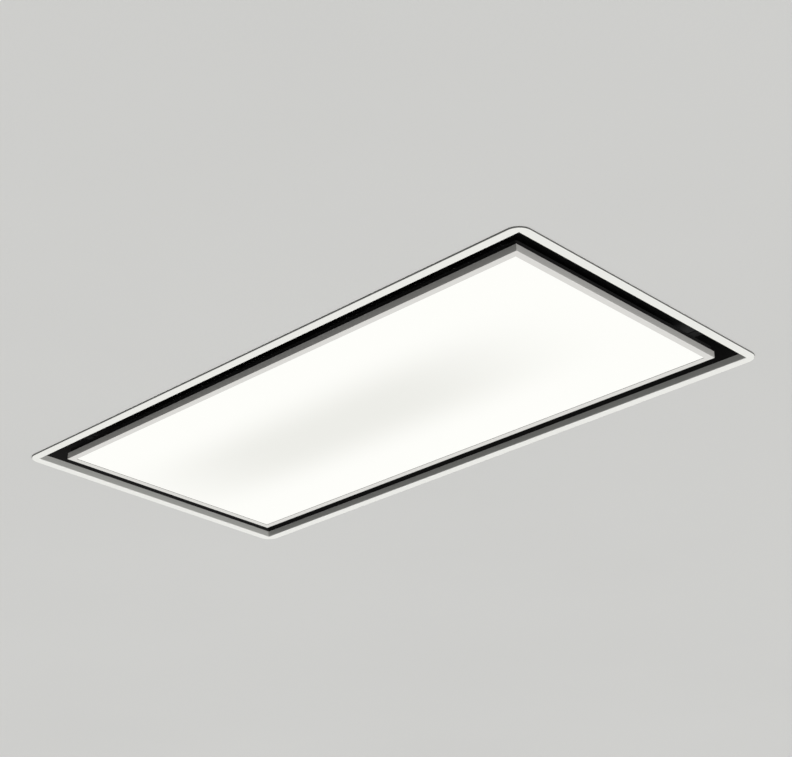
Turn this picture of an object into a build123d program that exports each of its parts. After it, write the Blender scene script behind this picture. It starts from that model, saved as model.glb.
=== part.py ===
"""Built-in ceiling range hood with perimeter suction and a hinged light panel.

The origin is the centre of the ceiling opening, on the ceiling's surface. +Z goes up into the
ceiling, +X along the hood's length and +Y towards the hinged edge. All sizes are millimetres.
"""

import math
import os

from build123d import *

os.makedirs("parts", exist_ok=True)

# ---------------------------------------------------------------- driving sizes
# Trim frame: the thin flange under the ceiling and its short upstand
flange_length = 1000.0
flange_width = 500.0
flange_thickness = 2.0
flange_border = 14.0
flange_corner_radius = 20.0
flange_edge_radius = 1.2
flange_bend_radius = 1.2
frame_sheet = 1.5
upstand_height = 10.0

# Light panel
slot_width = 30.5
panel_depth = 10.0
panel_wall = 1.5
panel_rim = 10.0
panel_edge_radius = 0.5
diffuser_recess = 0.7
diffuser_thickness = 3.0
tray_height = 14.3
tray_sheet = 0.8
tray_corner_radius = 3.0
tray_bead_width = 12.0
tray_bead_height = 1.5
tray_bead_end_inset = 108.0
tray_bead_pitch = 130.0
tray_bead_rows = 2
reflector_thickness = 0.5
strip_height = 8.0
strip_thickness = 1.6
led_width = 3.5
led_height = 2.8
led_thickness = 0.8
led_pitch = 50.0

# Casing
casing_sheet = 1.2
casing_height = 300.0
casing_fold = 14.0
seat_relief = 2.5
plenum_height = 60.0
deck_fold = 16.0
bead_width = 14.0
bead_height = 2.0
bead_side_inset = 76.5
bead_pitch = 70.0
bead_end_inset = 146.5
beads_per_side = 2
wall_bead_end_inset = 57.5
wall_bead_pitch = 110.0
wall_bead_rows = 2

# Grease filters
filter_end_inset = 62.5
filter_side_inset = 56.5
filter_thickness = 10.0
filter_spacing = 70.0
filter_bar = 12.0
filter_corner_radius = 4.0
filter_drop = 6.0
mesh_thickness = 7.0
mesh_groove = 5.0
pleat_count = 16
pleat_sheet = 1.2
stay_rod_columns = 6
hook_length = 6.0
hook_width = 20.0
hook_spacing = 200.0
hook_sheet = 1.0
deck_lip = 8.0

# Filter latch
latch_width = 20.0
latch_tongue = 1.5
latch_web = 4.0
latch_reach = 4.0
latch_travel = 6.0
latch_guide = 4.0
latch_guide_sheet = 1.2
latch_finger_pad = 7.0
latch_finger_drop = 2.5
latch_box_width = 44.0
latch_box_depth = 34.0
latch_box_wall = 1.5
latch_web_setback = 26.0

# Panel hinges and catches
hinge_end_inset = 135.5
hinge_inset = 15.5
hinge_ear_radius = 7.0
hinge_pin_radius = 2.5
hinge_sheet = 2.5
hinge_leaf_sheet = 1.5
hinge_leaf_width = 36.0
hinge_leaf_depth = 30.0
hinge_foot_length = 30.0
catch_end_inset = 135.5
catch_inset = 24.0
catch_width = 26.0
catch_sheet = 2.0
magnet_radius = 10.0
magnet_thickness = 6.0
strike_size = 30.0
strike_thickness = 1.5

# Blower. Its housing fills the height between the deck and the casing's top.
impeller_half_length = 70.0
impeller_ring = 3.0
impeller_ring_width = 11.0
impeller_web = 2.4
blade_count = 32
blade_depth = 13.0
blade_tip_gap = 1.0
blade_lean = 6.0
blade_bulge = 1.5
blade_angle_width = 1.1
hub_radius = 14.0
hub_length = 20.0
hub_taper = 4.0
shaft_radius = 4.0
shaft_chamfer = 0.5
motor_radius = 42.0
motor_edge_radius = 3.0
motor_gap = 10.0
motor_boss_radius = 16.0
motor_boss_length = 5.0
motor_bearing_depth = 22.0
scroll_sheet = 1.2
scroll_side_gap = 8.0
scroll_growth = 16.0
scroll_lip = 5.0
scroll_floor_gap = 4.0
scroll_roof_gap = 7.2
tongue_gap = 8.0
tongue_angle = 40.0
tongue_radius = 0.5
inlet_overlap = 1.0
inlet_flare = 7.0
spider_sheet = 3.0
spider_arm_width = 12.0
spider_arms = 3
spider_ring_width = 9.0
spider_hub_radius = 20.0
outlet_flange = 14.0

# Duct collar and its two flaps
duct_x = 0.0
collar_radius = 74.5
collar_wall = 2.5
collar_length = 45.0
collar_transition = 32.0
collar_base = 3.0
collar_stop = 3.0
collar_stop_height = 3.0
collar_lead_in = 1.0
flap_height_in_collar = 16.0
flap_thickness = 1.2
flap_edge_gap = 1.5
flap_root_gap = 1.4
flap_pin_radius = 2.0
flap_knuckle_radius = 3.6
flap_knuckle_length = 18.0
flap_pin_seat = 1.3

# Electrics
box_length = 150.0
box_width = 170.0
box_height = 70.0
box_wall = 1.5
box_end_gap = 21.5
box_corner_radius = 3.0
cover_sheet = 1.2
cover_lip = 6.0
board_thickness = 1.6
board_standoff = 8.0
component_inset = 27.5
transformer_length = 34.0
transformer_width = 30.0
transformer_height = 24.0
relay_length = 16.0
relay_width = 28.0
relay_height = 16.0
relay_count = 2
component_pitch = 42.0
driver_length = 150.0
driver_width = 42.0
driver_height = 30.0
driver_gap = 28.0
driver_ear = 12.0
driver_ear_sheet = 2.0
gland_thread_radius = 10.0
gland_hex = 24.0
gland_hex_height = 6.0
gland_dome_radius = 11.0
gland_dome_height = 14.0
gland_bore_radius = 5.0
gland_nut_height = 5.0

# Suspension brackets
bracket_end_inset = 47.5
bracket_side_inset = 37.5
bracket_length = 34.0
bracket_width = 40.0
bracket_rise = 26.0
bracket_sheet = 2.5
bracket_foot = 24.0
rod_hole_radius = 4.5

# Fasteners
screw_radius = 2.0
screw_head_radius = 3.8
screw_head_height = 2.4
screw_length = 7.0
screw_hole_radius = 2.1
casing_screw_columns = 4
casing_screw_rows = 2

# Named clearances
running_clearance = 0.3
pin_clearance = 0.05
fitting_clearance = 0.25
deck_clearance = 0.5
filter_clearance = 1.0

# ---------------------------------------------------------------- derived sizes
opening_length = flange_length - 2 * flange_border
opening_width = flange_width - 2 * flange_border
face_z = -flange_thickness
upstand_top = face_z + upstand_height

casing_inner_length = opening_length + 2 * frame_sheet
casing_inner_width = opening_width + 2 * frame_sheet
casing_outer_length = casing_inner_length + 2 * casing_sheet
casing_outer_width = casing_inner_width + 2 * casing_sheet
wall_top = casing_height - casing_sheet
deck_top = plenum_height + casing_sheet

panel_length = opening_length - 2 * slot_width
panel_width = opening_width - 2 * slot_width
window_length = panel_length - 2 * panel_rim
window_width = panel_width - 2 * panel_rim
diffuser_z = face_z + diffuser_recess
diffuser_length = panel_length - 2 * (panel_wall + fitting_clearance)
diffuser_width = panel_width - 2 * (panel_wall + fitting_clearance)
tray_z = diffuser_z + diffuser_thickness
tray_top = tray_z + tray_height
tray_bead_length = diffuser_length - 2 * tray_bead_end_inset

filter_length = (panel_length - filter_spacing) / 2 - filter_end_inset
filter_width = panel_width - 2 * filter_side_inset
filter_offset = (filter_length + filter_spacing) / 2
filter_z = plenum_height - filter_drop
filter_front_y = -filter_width / 2
window_in_deck_length = filter_length + 2 * filter_clearance
window_in_deck_width = filter_width + 2 * filter_clearance

hinge_spacing = panel_length - 2 * hinge_end_inset
hinge_y = panel_width / 2 - hinge_inset
hinge_z = tray_top + hinge_leaf_sheet + hinge_ear_radius + running_clearance
catch_spacing = panel_length - 2 * catch_end_inset
catch_y = -(panel_width / 2 - catch_inset)

scroll_half_width = impeller_half_length + scroll_side_gap
scroll_outer_half_width = scroll_half_width + scroll_sheet
scroll_edge = scroll_sheet + scroll_lip
blower_height = wall_top - deck_top - scroll_floor_gap - scroll_roof_gap
scroll_first_radius = (blower_height - 2 * scroll_edge - 3 * scroll_growth) / 2
scroll_last_radius = scroll_first_radius + 3 * scroll_growth
impeller_radius = scroll_first_radius - tongue_gap
blade_outer_radius = impeller_radius - blade_tip_gap
blade_inner_radius = blade_outer_radius - blade_depth
inlet_radius = blade_inner_radius - inlet_overlap
throat_left = -scroll_growth / 2 + scroll_first_radius * math.cos(math.radians(tongue_angle))
throat_right = scroll_growth / 2 + scroll_last_radius
throat_width = throat_right - throat_left
blower_x = duct_x - (throat_left + throat_right) / 2
blower_z = deck_top + scroll_floor_gap + scroll_edge + scroll_first_radius + 2.5 * scroll_growth
outlet_length = throat_width
outlet_width = 2 * scroll_half_width

collar_z = casing_height + collar_base
collar_round_z = collar_z + collar_transition
collar_bore = collar_radius - collar_wall
flap_z = collar_round_z + flap_height_in_collar
flap_radius = collar_bore - flap_edge_gap

box_x = casing_inner_length / 2 - box_end_gap - box_length / 2
driver_x = box_x - (box_length + driver_length) / 2 - driver_ear - driver_gap
bracket_spacing_x = casing_inner_length - 2 * bracket_end_inset
bracket_spacing_y = casing_inner_width - 2 * bracket_side_inset
bead_length = casing_inner_width - 2 * bead_side_inset
bead_last_x = casing_inner_length / 2 - bead_end_inset


def export_piece(piece: BuildPart, name: str) -> None:
    """Label a finished piece and write it to its own STEP file.

    Args:
        piece: The finished part builder.
        name: The piece's name.
    """
    piece.part.label = name
    export_step(piece.part, f"parts/{name}.step")


# ---------------------------------------------------------------- trim frame
with BuildPart() as trim_frame:
    with BuildSketch(Plane.XY.offset(face_z)):
        RectangleRounded(flange_length, flange_width, flange_corner_radius)
        Rectangle(opening_length, opening_width, mode=Mode.SUBTRACT)
    extrude(amount=flange_thickness)
    with BuildSketch(Plane.XY.offset(face_z)):
        Rectangle(casing_inner_length, casing_inner_width)
        Rectangle(opening_length, opening_width, mode=Mode.SUBTRACT)
    extrude(amount=upstand_height)
    visible_face = trim_frame.faces().sort_by(Axis.Z)[0]
    fillet(visible_face.outer_wire().edges(), radius=flange_edge_radius)
    visible_face = trim_frame.faces().sort_by(Axis.Z)[0]
    fillet(visible_face.inner_wires().edges(), radius=flange_bend_radius)
export_piece(trim_frame, "trim_frame")

# ---------------------------------------------------------------- plenum collar
# Dark sheet ring above the upstand. Its top is folded inwards and carries the deck.
with BuildPart() as plenum_collar:
    with BuildSketch(Plane.XY.offset(upstand_top)):
        Rectangle(casing_inner_length, casing_inner_width)
        Rectangle(
            casing_inner_length - 2 * casing_sheet,
            casing_inner_width - 2 * casing_sheet,
            mode=Mode.SUBTRACT,
        )
    extrude(amount=plenum_height - upstand_top)
    with BuildSketch(Plane.XY.offset(plenum_height - casing_sheet)):
        Rectangle(casing_inner_length, casing_inner_width)
        Rectangle(
            casing_inner_length - 2 * deck_fold,
            casing_inner_width - 2 * deck_fold,
            mode=Mode.SUBTRACT,
        )
    extrude(amount=casing_sheet)
export_piece(plenum_collar, "plenum_collar")

# ---------------------------------------------------------------- casing walls
# The walls stand outside the upstand and leave the flange's seat against the ceiling free.
wall_bottom = seat_relief
wall_height = wall_top - wall_bottom
screw_row_y = (casing_inner_width - casing_fold) / 2
screw_column_x = (casing_inner_length - casing_fold) / 2
screw_column_pitch = 2 * (screw_column_x - 2 * casing_fold) / (casing_screw_columns - 1)
screw_row_pitch = casing_inner_width / 2
long_wall_screws = GridLocations(screw_column_pitch, 2 * screw_row_y, casing_screw_columns, 2)
short_wall_screws = GridLocations(2 * screw_column_x, screw_row_pitch, 2, casing_screw_rows)
# Beads pressed inwards stiffen each wall beside the blower's chamber.
wall_bead_z = (deck_top + wall_top) / 2
long_bead_length = casing_inner_length - 2 * wall_bead_end_inset
short_bead_length = casing_inner_width - 2 * wall_bead_end_inset

for wall_name, direction in (("casing_front", -1), ("casing_rear", 1)):
    with BuildPart() as long_wall:
        with BuildSketch(Plane.XY.offset(wall_bottom)):
            with Locations((0, direction * (casing_inner_width + casing_sheet) / 2)):
                Rectangle(casing_outer_length, casing_sheet)
        extrude(amount=wall_height)
        with BuildSketch(Plane.XY.offset(wall_top - casing_sheet)):
            with Locations((0, direction * screw_row_y)):
                Rectangle(casing_inner_length - 2 * casing_fold, casing_fold)
        extrude(amount=casing_sheet)
        with BuildSketch(Plane.XY.offset(wall_top)):
            with long_wall_screws:
                Circle(screw_hole_radius)
        extrude(amount=-2 * casing_sheet, mode=Mode.SUBTRACT)
        with BuildSketch(Plane.XZ.offset(-direction * casing_inner_width / 2)):
            with Locations((0, wall_bead_z)):
                with GridLocations(0, wall_bead_pitch, 1, wall_bead_rows):
                    SlotOverall(long_bead_length, bead_width)
        extrude(amount=direction * bead_height)
        with BuildSketch(Plane.XZ.offset(-direction * casing_outer_width / 2)):
            with Locations((0, wall_bead_z)):
                with GridLocations(0, wall_bead_pitch, 1, wall_bead_rows):
                    SlotOverall(long_bead_length - 2 * casing_sheet, bead_width - 2 * casing_sheet)
        extrude(amount=direction * bead_height, mode=Mode.SUBTRACT)
    export_piece(long_wall, wall_name)

for wall_name, direction in (("casing_left", -1), ("casing_right", 1)):
    with BuildPart() as short_wall:
        with BuildSketch(Plane.XY.offset(wall_bottom)):
            with Locations((direction * (casing_inner_length + casing_sheet) / 2, 0)):
                Rectangle(casing_sheet, casing_inner_width)
        extrude(amount=wall_height)
        with BuildSketch(Plane.XY.offset(wall_top - casing_sheet)):
            with Locations((direction * screw_column_x, 0)):
                Rectangle(casing_fold, casing_inner_width)
        extrude(amount=casing_sheet)
        with BuildSketch(Plane.XY.offset(deck_top + casing_sheet)):
            with Locations((direction * screw_column_x, 0)):
                with GridLocations(0, casing_inner_width - casing_sheet, 1, 2):
                    Rectangle(casing_fold, casing_sheet)
        extrude(amount=wall_top - deck_top - casing_sheet)
        with BuildSketch(Plane.XY.offset(wall_top)):
            with short_wall_screws:
                Circle(screw_hole_radius)
        extrude(amount=-2 * casing_sheet, mode=Mode.SUBTRACT)
        with BuildSketch(Plane.YZ.offset(direction * casing_inner_length / 2)):
            with Locations((0, wall_bead_z)):
                with GridLocations(0, wall_bead_pitch, 1, wall_bead_rows):
                    SlotOverall(short_bead_length, bead_width)
        extrude(amount=-direction * bead_height)
        with BuildSketch(Plane.YZ.offset(direction * casing_outer_length / 2)):
            with Locations((0, wall_bead_z)):
                with GridLocations(0, wall_bead_pitch, 1, wall_bead_rows):
                    SlotOverall(short_bead_length - 2 * casing_sheet, bead_width - 2 * casing_sheet)
        extrude(amount=-direction * bead_height, mode=Mode.SUBTRACT)
    export_piece(short_wall, wall_name)

# ---------------------------------------------------------------- casing top
# Pressed beads stiffen the sheet on both sides of the outlet.
bracket_screw_spots = [
    (side_x * (bracket_spacing_x / 2 - bracket_length), side_y * bracket_spacing_y / 2 + shift)
    for side_x in (-1, 1)
    for side_y in (-1, 1)
    for shift in (-bracket_width / 4, bracket_width / 4)
]
flange_half_length = outlet_length / 2 + scroll_sheet + outlet_flange
flange_half_width = outlet_width / 2 + scroll_sheet + outlet_flange
collar_screw_x = flange_half_length - outlet_flange / 2
collar_screw_y = flange_half_width - outlet_flange / 2
collar_screw_spots = [
    (duct_x + side_x * collar_screw_x, row * collar_screw_y)
    for side_x in (-1, 1)
    for row in (-1, 0, 1)
]
bead_spots = [
    side * (bead_last_x - number * bead_pitch)
    for side in (-1, 1)
    for number in range(beads_per_side)
]

with BuildPart() as casing_top:
    with BuildSketch(Plane.XY.offset(wall_top)):
        Rectangle(casing_outer_length, casing_outer_width)
        with Locations((duct_x, 0)):
            Rectangle(outlet_length, outlet_width, mode=Mode.SUBTRACT)
        with long_wall_screws:
            Circle(screw_hole_radius, mode=Mode.SUBTRACT)
        with short_wall_screws:
            Circle(screw_hole_radius, mode=Mode.SUBTRACT)
        with Locations(*bracket_screw_spots, *collar_screw_spots):
            Circle(screw_hole_radius, mode=Mode.SUBTRACT)
        with Locations((box_x, 0)):
            Circle(gland_thread_radius + fitting_clearance, mode=Mode.SUBTRACT)
    extrude(amount=casing_sheet)
    for bead_x in bead_spots:
        with BuildSketch(Plane.XY.offset(casing_height)):
            with Locations((bead_x, 0)):
                SlotOverall(bead_length, bead_width, rotation=90)
        extrude(amount=bead_height)
        with BuildSketch(Plane.XY.offset(wall_top)):
            with Locations((bead_x, 0)):
                SlotOverall(
                    bead_length - 2 * casing_sheet, bead_width - 2 * casing_sheet, rotation=90
                )
        extrude(amount=bead_height, mode=Mode.SUBTRACT)
export_piece(casing_top, "casing_top")

# ---------------------------------------------------------------- filter deck
with BuildPart() as filter_deck:
    with BuildSketch(Plane.XY.offset(plenum_height)):
        Rectangle(casing_inner_length - 2 * deck_clearance, casing_inner_width - 2 * deck_clearance)
        with GridLocations(2 * filter_offset, 0, 2, 1):
            Rectangle(window_in_deck_length, window_in_deck_width, mode=Mode.SUBTRACT)
    extrude(amount=casing_sheet)
    # The short sides of each filter opening are turned up.
    with BuildSketch(Plane.XY.offset(deck_top)):
        with GridLocations(2 * filter_offset, 0, 2, 1):
            with GridLocations(window_in_deck_length + casing_sheet, 0, 2, 1):
                Rectangle(casing_sheet, window_in_deck_width)
    extrude(amount=deck_lip)
export_piece(filter_deck, "filter_deck")

# ---------------------------------------------------------------- grease filters
# Each filter hangs in the deck by two hooks at the rear and by its latch at the front.
core_length = filter_length - 2 * (filter_bar - mesh_groove)
core_width = filter_width - 2 * (filter_bar - mesh_groove)
light_length = filter_length - 2 * filter_bar
light_width = filter_width - 2 * filter_bar
mesh_cover = (filter_thickness - mesh_thickness) / 2
mesh_z = filter_z + mesh_cover
stay_rod_radius = mesh_cover / 2
stay_rod_pitch = light_length / stay_rod_columns
tongue_z = deck_top + running_clearance
tongue_tip_y = filter_front_y - filter_clearance - latch_reach
box_front_y = filter_front_y + filter_bar
web_y = filter_front_y + latch_web_setback
guide_z = filter_z + latch_box_wall + running_clearance
finger_z = filter_z - running_clearance

for side_name, side in (("left", -1), ("right", 1)):
    filter_x = side * filter_offset
    with BuildPart() as filter_frame:
        with BuildSketch(Plane.XY.offset(filter_z)):
            with Locations((filter_x, 0)):
                RectangleRounded(filter_length, filter_width, filter_corner_radius)
                Rectangle(light_length, light_width, mode=Mode.SUBTRACT)
        extrude(amount=filter_thickness)
        # The channel that holds the mesh runs round the inside.
        with BuildSketch(Plane.XY.offset(mesh_z)):
            with Locations((filter_x, 0)):
                Rectangle(core_length, core_width)
        extrude(amount=mesh_thickness, mode=Mode.SUBTRACT)
        # Rear hooks rest on the deck.
        with BuildSketch(Plane.XY.offset(deck_top)):
            with Locations((filter_x, (filter_width + hook_length) / 2 - hook_sheet)):
                with GridLocations(hook_spacing, 0, 2, 1):
                    Rectangle(hook_width, hook_length + 2 * hook_sheet)
        extrude(amount=hook_sheet)
        # Open box round the latch, with a slot in its floor for the slide.
        with BuildSketch(Plane.XY.offset(filter_z)):
            with Locations((filter_x, box_front_y + latch_box_depth / 2)):
                Rectangle(latch_box_width, latch_box_depth)
        extrude(amount=filter_thickness)
        with BuildSketch(Plane.XY.offset(filter_z + latch_box_wall)):
            with Locations((filter_x, box_front_y + (latch_box_depth - latch_box_wall) / 2)):
                Rectangle(latch_box_width - 2 * latch_box_wall, latch_box_depth - latch_box_wall)
        extrude(amount=filter_thickness, mode=Mode.SUBTRACT)
        with BuildSketch(Plane.XY.offset(filter_z)):
            with Locations((filter_x, web_y + (latch_web + latch_travel) / 2)):
                Rectangle(
                    latch_width + 2 * running_clearance,
                    latch_web + latch_travel + 2 * running_clearance,
                )
        extrude(amount=latch_box_wall, mode=Mode.SUBTRACT)
        # The notch lets the latch's tongue out over the deck.
        with BuildSketch(Plane.XY.offset(deck_top)):
            with Locations((filter_x, filter_front_y + filter_bar / 2)):
                Rectangle(latch_width + 2 * running_clearance, filter_bar)
        extrude(amount=filter_thickness, mode=Mode.SUBTRACT)
        # Stay rods under the mesh, on both sides of the latch.
        with BuildSketch(Plane.XZ.offset(-light_width / 2)):
            with Locations((filter_x, filter_z + stay_rod_radius)):
                with GridLocations(stay_rod_pitch, 0, stay_rod_columns, 1):
                    Circle(stay_rod_radius)
        extrude(amount=light_width)
    export_piece(filter_frame, f"filter_frame_{side_name}")

    with BuildPart() as filter_mesh:
        pleat_pitch = core_length / (2 * pleat_count)
        upper_line = [
            (
                filter_x - core_length / 2 + step * pleat_pitch,
                mesh_z + (mesh_thickness if step % 2 else pleat_sheet),
            )
            for step in range(2 * pleat_count + 1)
        ]
        lower_line = [(x, z - pleat_sheet) for x, z in reversed(upper_line)]
        with BuildSketch(Plane.XZ.offset(-core_width / 2)):
            with BuildLine():
                Polyline(*upper_line, *lower_line, close=True)
            make_face()
        extrude(amount=core_width)
        # The pleats stop at the latch's box.
        with BuildSketch(Plane.XY.offset(filter_z)):
            with Locations((filter_x, filter_front_y + (filter_bar + latch_box_depth) / 2)):
                Rectangle(latch_box_width, filter_bar + latch_box_depth)
        extrude(amount=filter_thickness, mode=Mode.SUBTRACT)
    export_piece(filter_mesh, f"filter_mesh_{side_name}")

    with BuildPart() as filter_latch:
        with BuildSketch(Plane.YZ.offset(filter_x - latch_width / 2)):
            # Tongue over the deck
            with Locations((tongue_tip_y, tongue_z)):
                Rectangle(
                    web_y + latch_web - tongue_tip_y,
                    latch_tongue,
                    align=(Align.MIN, Align.MIN),
                )
            # Web through the slot
            with Locations((web_y, finger_z - latch_finger_drop)):
                Rectangle(
                    latch_web,
                    tongue_z + latch_tongue - finger_z + latch_finger_drop,
                    align=(Align.MIN, Align.MIN),
                )
            # Guide above the box's floor
            with Locations((web_y - latch_guide, guide_z)):
                Rectangle(
                    latch_web + 2 * latch_guide,
                    latch_guide_sheet,
                    align=(Align.MIN, Align.MIN),
                )
            # Finger pad below it
            with Locations((web_y - latch_finger_pad, finger_z - latch_finger_drop)):
                Rectangle(
                    latch_web + 2 * latch_finger_pad,
                    latch_finger_drop,
                    align=(Align.MIN, Align.MIN),
                )
        extrude(amount=latch_width)
        tip_edges = filter_latch.edges().filter_by(Axis.X).group_by(Axis.Y)[0]
        chamfer(tip_edges.sort_by(Axis.Z)[-1], length=latch_tongue / 2)
    export_piece(filter_latch, f"filter_latch_{side_name}")

# ---------------------------------------------------------------- light panel frame
with BuildPart() as panel_frame:
    with BuildSketch(Plane.XY.offset(face_z)):
        Rectangle(panel_length, panel_width)
    extrude(amount=panel_depth)
    with BuildSketch(Plane.XY.offset(diffuser_z)):
        Rectangle(panel_length - 2 * panel_wall, panel_width - 2 * panel_wall)
    extrude(amount=panel_depth, mode=Mode.SUBTRACT)
    with BuildSketch(Plane.XY.offset(face_z)):
        Rectangle(window_length, window_width)
    extrude(amount=diffuser_recess, mode=Mode.SUBTRACT)
    rim_face = panel_frame.faces().sort_by(Axis.Z)[0]
    fillet(rim_face.outer_wire().edges(), radius=panel_edge_radius)
export_piece(panel_frame, "panel_frame")

with BuildPart() as diffuser:
    with BuildSketch(Plane.XY.offset(diffuser_z)):
        Rectangle(diffuser_length, diffuser_width)
    extrude(amount=diffuser_thickness)
export_piece(diffuser, "diffuser")

# ---------------------------------------------------------------- panel tray and its lighting
with BuildPart() as panel_tray:
    with BuildSketch(Plane.XY.offset(tray_z)):
        RectangleRounded(diffuser_length, diffuser_width, tray_corner_radius)
    extrude(amount=tray_height)
    fillet(panel_tray.faces().sort_by(Axis.Z)[-1].edges(), radius=tray_corner_radius / 2)
    with BuildSketch(Plane.XY.offset(tray_z)):
        RectangleRounded(
            diffuser_length - 2 * tray_sheet,
            diffuser_width - 2 * tray_sheet,
            tray_corner_radius - tray_sheet,
        )
    extrude(amount=tray_height - tray_sheet, mode=Mode.SUBTRACT)
    # Two beads pressed upwards stiffen the tray's roof.
    with BuildSketch(Plane.XY.offset(tray_top)):
        with GridLocations(0, tray_bead_pitch, 1, tray_bead_rows):
            SlotOverall(tray_bead_length, tray_bead_width)
    extrude(amount=tray_bead_height)
    with BuildSketch(Plane.XY.offset(tray_top - tray_sheet)):
        with GridLocations(0, tray_bead_pitch, 1, tray_bead_rows):
            SlotOverall(tray_bead_length - 2 * tray_sheet, tray_bead_width - 2 * tray_sheet)
    extrude(amount=tray_bead_height, mode=Mode.SUBTRACT)
export_piece(panel_tray, "panel_tray")

tray_inner_length = diffuser_length - 2 * tray_sheet
tray_inner_width = diffuser_width - 2 * tray_sheet
strip_length = window_length
strip_width = window_width - 2 * strip_thickness
strip_z = tray_z + (tray_height - tray_sheet - strip_height) / 2

with BuildPart() as reflector:
    with BuildSketch(Plane.XY.offset(tray_top - tray_sheet - reflector_thickness)):
        RectangleRounded(window_length, window_width, tray_corner_radius)
    extrude(amount=reflector_thickness)
export_piece(reflector, "reflector")

# The strips stand on edge along the tray's walls and light the diffuser from all four sides.
leds_along_length = int(strip_length / led_pitch)
leds_along_width = int(strip_width / led_pitch)
strip_row_y = (tray_inner_width - strip_thickness) / 2
strip_row_x = (tray_inner_length - strip_thickness) / 2
led_row_y = strip_row_y - (strip_thickness + led_thickness) / 2
led_row_x = strip_row_x - (strip_thickness + led_thickness) / 2
with BuildPart() as led_strips:
    with BuildSketch(Plane.XY.offset(strip_z)):
        with GridLocations(0, 2 * strip_row_y, 1, 2):
            Rectangle(strip_length, strip_thickness)
        with GridLocations(2 * strip_row_x, 0, 2, 1):
            Rectangle(strip_thickness, strip_width)
    extrude(amount=strip_height)
    with BuildSketch(Plane.XY.offset(strip_z + (strip_height - led_height) / 2)):
        with GridLocations(led_pitch, 2 * led_row_y, leds_along_length, 2):
            Rectangle(led_width, led_thickness)
        with GridLocations(2 * led_row_x, led_pitch, 2, leds_along_width):
            Rectangle(led_thickness, led_width)
    extrude(amount=led_height)
export_piece(led_strips, "led_strips")

# ---------------------------------------------------------------- panel hinges
# A bracket hangs from the deck and ends in an eye. Two ears on the tray hold the pin in it.
ear_gap = hinge_sheet + 2 * running_clearance
ear_offset = (ear_gap + hinge_sheet) / 2
leaf_near_y = hinge_y - hinge_leaf_depth + hinge_ear_radius

for side_name, side in (("left", -1), ("right", 1)):
    hinge_x = side * hinge_spacing / 2
    with BuildPart() as hinge_bracket:
        with BuildSketch(Plane.YZ.offset(hinge_x - hinge_sheet / 2)):
            with Locations((hinge_y, (hinge_z + plenum_height) / 2)):
                Rectangle(2 * hinge_ear_radius, plenum_height - hinge_z)
            with Locations((hinge_y, hinge_z)):
                Circle(hinge_ear_radius)
                Circle(hinge_pin_radius + pin_clearance, mode=Mode.SUBTRACT)
        extrude(amount=hinge_sheet)
        with BuildSketch(Plane.XY.offset(plenum_height - hinge_sheet)):
            with Locations((hinge_x, hinge_y)):
                SlotOverall(hinge_foot_length, 2 * hinge_ear_radius)
        extrude(amount=hinge_sheet)
    export_piece(hinge_bracket, f"hinge_bracket_{side_name}")

    with BuildPart() as hinge_leaf:
        with BuildSketch(Plane.XY.offset(tray_top)):
            with Locations((hinge_x, leaf_near_y + hinge_leaf_depth / 2)):
                RectangleRounded(hinge_leaf_width, hinge_leaf_depth, tray_corner_radius)
        extrude(amount=hinge_leaf_sheet)
        for ear in (-1, 1):
            ear_x = hinge_x + ear * ear_offset - hinge_sheet / 2
            with BuildSketch(Plane.YZ.offset(ear_x)):
                with Locations((hinge_y, (tray_top + hinge_z) / 2)):
                    Rectangle(2 * hinge_ear_radius, hinge_z - tray_top)
                with Locations((hinge_y, hinge_z)):
                    Circle(hinge_ear_radius)
                    Circle(hinge_pin_radius, mode=Mode.SUBTRACT)
            extrude(amount=hinge_sheet)
    export_piece(hinge_leaf, f"hinge_leaf_{side_name}")

pin_half_length = ear_offset + hinge_sheet / 2
with BuildPart() as hinge_pins:
    for side in (-1, 1):
        pin_end_x = side * hinge_spacing / 2 - pin_half_length
        with BuildSketch(Plane.YZ.offset(pin_end_x)):
            with Locations((hinge_y, hinge_z)):
                Circle(hinge_pin_radius)
        extrude(amount=2 * pin_half_length)
export_piece(hinge_pins, "hinge_pins")

# ---------------------------------------------------------------- panel catches
# A bent bracket carries a magnet just above a steel plate on the tray.
strike_top = tray_top + strike_thickness
magnet_z = strike_top + running_clearance
catch_floor_z = magnet_z + magnet_thickness
for side_name, side in (("left", -1), ("right", 1)):
    catch_x = side * catch_spacing / 2
    with BuildPart() as catch_bracket:
        with BuildSketch(Plane.YZ.offset(catch_x - catch_width / 2)):
            with Locations((catch_y - magnet_radius - catch_sheet, catch_floor_z)):
                Rectangle(
                    catch_sheet,
                    plenum_height - catch_floor_z,
                    align=(Align.MIN, Align.MIN),
                )
                Rectangle(
                    2 * magnet_radius + catch_sheet,
                    catch_sheet,
                    align=(Align.MIN, Align.MIN),
                )
            with Locations((catch_y - magnet_radius - catch_sheet, plenum_height - catch_sheet)):
                Rectangle(
                    2 * magnet_radius + catch_sheet,
                    catch_sheet,
                    align=(Align.MIN, Align.MIN),
                )
        extrude(amount=catch_width)
        bend_edges = catch_bracket.edges().filter_by(Axis.X).group_by(Axis.Y)[0]
        fillet(bend_edges, radius=catch_sheet)
    export_piece(catch_bracket, f"catch_bracket_{side_name}")

with BuildPart() as catch_magnets:
    with BuildSketch(Plane.XY.offset(magnet_z)):
        with Locations((0, catch_y)):
            with GridLocations(catch_spacing, 0, 2, 1):
                Circle(magnet_radius)
    extrude(amount=magnet_thickness)
export_piece(catch_magnets, "catch_magnets")

with BuildPart() as strike_plates:
    with BuildSketch(Plane.XY.offset(tray_top)):
        with Locations((0, catch_y)):
            with GridLocations(catch_spacing, 0, 2, 1):
                RectangleRounded(strike_size, strike_size, tray_corner_radius)
    extrude(amount=strike_thickness)
export_piece(strike_plates, "strike_plates")


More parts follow.
